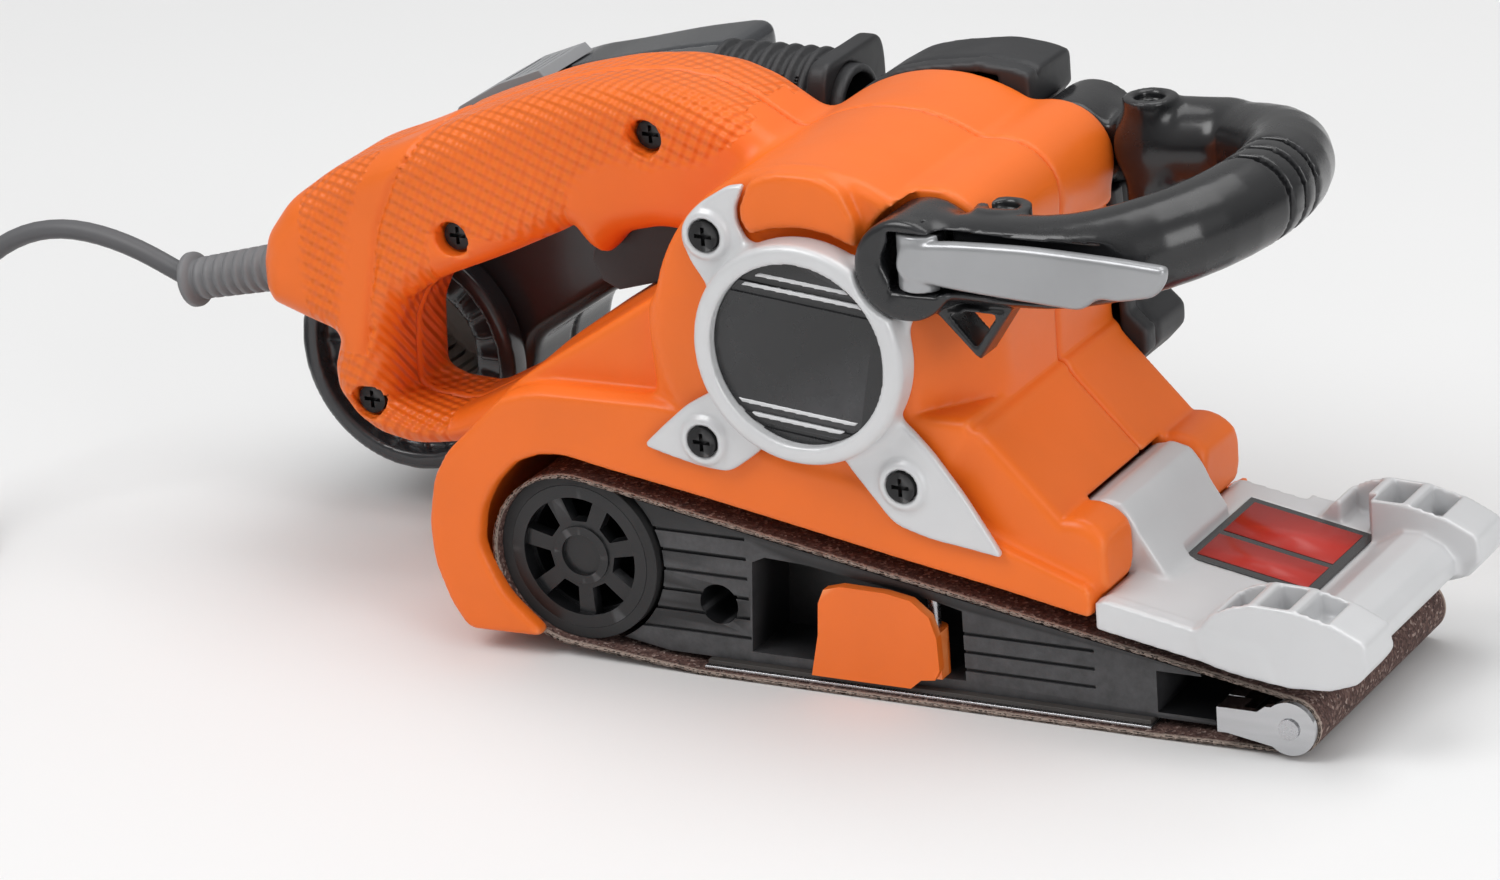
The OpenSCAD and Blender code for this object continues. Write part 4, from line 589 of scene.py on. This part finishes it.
# ribbed neck with its oval collar
g = G((-92, 37, 96), (-53, 73, 129), 0.6 * FINE)
X, Y, Z = g.X, g.Y, g.Z
tube = np.hypot(Y - 52, Z - 112.5)
rib = 12.8 + 0.75 * np.clip(np.cos((X + 88) * 2 * math.pi / 4.2) * 1.6, -1, 1)
D = np.maximum(tube - rib, np.maximum(-90 - X, X + 60)) * 0.85
oval = np.maximum(np.abs(Y - 55.2) - 16.5, np.abs(Z - 112.8) - 13)
oval = smax(oval, np.hypot(Y - 55.2, Z - 112.8) - 18.6, 2)
oval = smax(oval, np.abs(X + 57.75) - 2.75, 1.6)
D = smin(D, oval, 1.2)
D = cut(D, np.maximum(np.hypot(Y - 51, Z - 112.5) - 10.65, -91 - X))
sdf("canister_neck_ribbed", g, D, "black", "dust_canister", ["canister_neck"], 0.6)

# ---------------------------------------------------------------- strain relief, turned with ribs
prof = [(4.9, -2), (5.6, -1.6), (5.6, 9), (5.9, 9.4)]
z_ = 10.4
while z_ < 34:
    prof += [(5.9 - (z_ - 10) * 0.028, z_), (5.9 - (z_ - 10) * 0.028, z_ + 1.5), (5.0 - (z_ - 10) * 0.028, z_ + 1.8), (5.0 - (z_ - 10) * 0.028, z_ + 2.7)]
    z_ += 3.1
prof += [(5.3, 35.2), (6.7, 35.7), (6.9, 36.2), (6.9, 37.2), (6.5, 37.5), (2.55, 37.6), (2.55, 20), (2.45, -2)]
n = 48
Vv, Qq = [], []
ax_ = Vector((-0.9736, 0, -0.2284)).normalized(); s1 = Vector((0, 1, 0)); s2 = ax_.cross(s1)
for r_, h_ in prof:
    for j in range(n):
        w = 2 * math.pi * j / n
        p = Vector((-184, 9, 74.6)) + ax_ * h_ + (s1 * math.cos(w) + s2 * math.sin(w)) * r_
        Vv.append(tuple(p))
K = len(prof)
for i in range(K):
    for j in range(n):
        Qq.append([i * n + j, ((i + 1) % K) * n + j, ((i + 1) % K) * n + (j + 1) % n, i * n + (j + 1) % n])
relief = make("strain_relief_ribbed", np.array(Vv), np.array(Qq), "relief", "root", ["strain_relief"])

# ---------------------------------------------------------------- mains lead: out of the relief, down, and wound in a coil out of view
route = [tuple(p) for p in catmull(np.array(CORD_ROUTE, float), 3)]
def turn(t_):
    if t_ < 1.7: return 26.3 + 5.2 * t_, 12.65
    if t_ < 2.05: return 35.2, 12.65 - 5.05 * (t_ - 1.7) / 0.35
    if t_ < 4.9: return 35.2 - 5.2 * (t_ - 2.05), 7.6
    if t_ < 5.25: return 20.4, 7.6 - 5.05 * (t_ - 4.9) / 0.35
    return 20.4 + 5.2 * (t_ - 5.25), 2.56 + max(0, t_ - 8.3) * 5.6
pts = []
for i in range(0, 8 * 40 + 23):
    t_ = i / 40
    rr_, zz = turn(t_)
    an = math.radians(18.2 - 360 * t_)
    pts.append((-302 + rr_ * math.cos(an), -45 + rr_ * math.sin(an), zz))
pts = [p for i, p in enumerate(pts) if i >= 3]
last = np.array(pts[-1]); end = np.array([-340, -22, 8.5])
tail = [tuple(last + (end - last) * u+ 0) for u in (0.35, 0.7, 1.0)]
line = np.array(route + pts + tail)
# even spacing, slightly smoothed
for _ in range(6):
    line[1:-1] = (line[:-2] + 2 * line[1:-1] + line[2:]) / 4
    line[0] = route[0]
cu = bpy.data.curves.new("mains_lead", "CURVE"); cu.dimensions = "3D"
cu.bevel_depth = 0.0025; cu.bevel_resolution = 4; cu.use_fill_caps = True
sp = cu.splines.new("POLY"); sp.points.add(len(line) - 1)
for p_, q in zip(sp.points, line):
    p_.co = (*(q * MM), 1)
lead = bpy.data.objects.new("mains_lead", cu); scene.collection.objects.link(lead)
cu.materials.append(M["cord"])
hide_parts("power_cord", "cord_coil"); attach(lead, "root")

# ---------------------------------------------------------------- plain panels on the nose cover's film
def panel(name, x0, x1, y0, y1, look):
    q = [(x, y) for x, y in ((x0, y0), (x1, y0), (x1, y1), (x0, y1))]
    lift = lambda x, dz: 33.7 - (x - 49.5) * 0.1896 + dz
    V = np.array([(x, y, lift(x, 0.16)) for x, y in q] + [(x, y, lift(x, 0.36)) for x, y in q])
    Q = np.array([[3, 2, 1, 0], [4, 5, 6, 7], [0, 1, 5, 4], [1, 2, 6, 5], [2, 3, 7, 6], [3, 0, 4, 7]])
    make(name, V, Q, look, "nose_cover")
panel("label_panel_a", 57, 84, -5.5, 7, "panel_red")
panel("label_panel_b", 57, 84, 9.5, 27.5, "panel_red")

# ---------------------------------------------------------------- finer looks for the CAD pieces
LOOK = {
    "housing_screws": "screw", "cover_screws": "screw", "end_shield_screws": "screw", "end_shield_badge": "gloss_black", "stator_core": "lamination",
    "field_coils": "copper", "armature_core": "lamination", "armature_coils": "copper", "commutator": "copper", "motor_shaft": "steel",
    "cooling_fan": "black", "motor_bearings": "steel", "motor_end_plate": "alu", "brush_holders": "brass", "carbon_brushes": "carbon",
    "motor_pulley": "steel", "drive_belt": "rubber", "drive_pulley": "black", "roller_shaft": "steel", "roller_bearings": "steel",
    "roller_bearing_carrier": "alu", "drive_roller_hub": "frame", "drive_roller_tyre": "rubber", "sanding_belt": "abrasive",
    "platen_frame": "frame", "platen_pad": "pad", "platen_plate": "steel", "front_roller": "steel", "front_axle": "steel", "tension_yoke": "chrome",
    "tension_spring": "steel", "tension_lever": "orange_lever", "tension_lever_pin": "steel", "tracking_knob": "black", "nose_hinge_pin": "steel",
    "nose_label": "film", "front_handle_bolt": "steel", "front_handle_nut": "steel", "clamp_lever_pin": "steel",
    "trigger": "black", "trigger_pin": "steel", "trigger_spring": "steel", "switch_unit": "black", "lock_button": "black",
    "canister_filter": "filter", "canister_vent": "grey", "mains_plug": "gloss_black",
}
WIDE = {"tension_lever": 0.8, "clamp_lever": 1.0, "trigger": 1.6, "mains_plug": 1.2, "tracking_knob": 0.5, "platen_frame": 0.4, "tension_yoke": 0.4,
        "drive_roller_hub": 0.5, "end_shield_badge": 0.4, "canister_vent": 0.4, "lock_button": 0.5}
for node_, look in LOOK.items():
    o = N[node_]
    o.data.materials.clear(); o.data.materials.append(M[look])
    w = o.modifiers.new("weld", "WELD"); w.merge_threshold = 0.00001
    if node_ != "sanding_belt":
        bv = o.modifiers.new("bevel", "BEVEL")
        bv.width = WIDE.get(node_, 0.22) * MM; bv.segments = 3 if node_ in WIDE else 2
        bv.limit_method = "ANGLE"; bv.angle_limit = math.radians(32); bv.use_clamp_overlap = True
        bv.harden_normals = False
    o.data.polygons.foreach_set("use_smooth", np.ones(len(o.data.polygons), bool))
    wn = o.modifiers.new("wn", "WEIGHTED_NORMAL"); wn.keep_sharp = True

# ---------------------------------------------------------------- floor and light
me = bpy.data.meshes.new("floor")
me.from_pydata([(-6, -6, -0.0003), (6, -6, -0.0003), (6, 6, -0.0003), (-6, 6, -0.0003)], [], [(0, 1, 2, 3)])
floor = bpy.data.objects.new("floor", me); scene.collection.objects.link(floor)
fm, t, b = mat("floor", (0.8, 0.8, 0.8), 0.75)
n = noise(t, 3, 2); c = ramp(t, n.outputs["Fac"], [(0, (0.79, 0.79, 0.79)), (1, (0.83, 0.83, 0.83))]); t.links.new(c.outputs["Color"], b.inputs["Base Color"])
me.materials.append(fm)

w = bpy.data.worlds.new("world"); scene.world = w; w.use_nodes = True
tc = w.node_tree.nodes.new("ShaderNodeTexCoord"); sx = w.node_tree.nodes.new("ShaderNodeSeparateXYZ")
w.node_tree.links.new(tc.outputs["Generated"], sx.inputs[0])
c = ramp(w.node_tree, sx.outputs["Z"], [(0.0, (0.5, 0.5, 0.5)), (0.12, (0.55, 0.55, 0.55)), (0.6, (1, 1, 1))])
w.node_tree.links.new(c.outputs["Color"], w.node_tree.nodes["Background"].inputs["Color"])
w.node_tree.nodes["Background"].inputs["Strength"].default_value = 0.55
def area(name, loc, size, power, look=(0, 0, 0.06)):
    l = bpy.data.lights.new(name, "AREA"); l.shape = "RECTANGLE"; l.size, l.size_y = size; l.energy = power
    o = bpy.data.objects.new(name, l); scene.collection.objects.link(o)
    o.location = loc
    o.rotation_euler = (Vector(look) - Vector(loc)).to_track_quat("-Z", "Y").to_euler()
area("key", (-0.7, -0.9, 1.5), (0.9, 0.9), 13)
area("top", (0.2, 0.3, 1.5), (1.4, 0.9), 9)
area("side", (1.3, -0.7, 0.6), (0.6, 0.8), 6)
scene.view_settings.view_transform = "Standard"
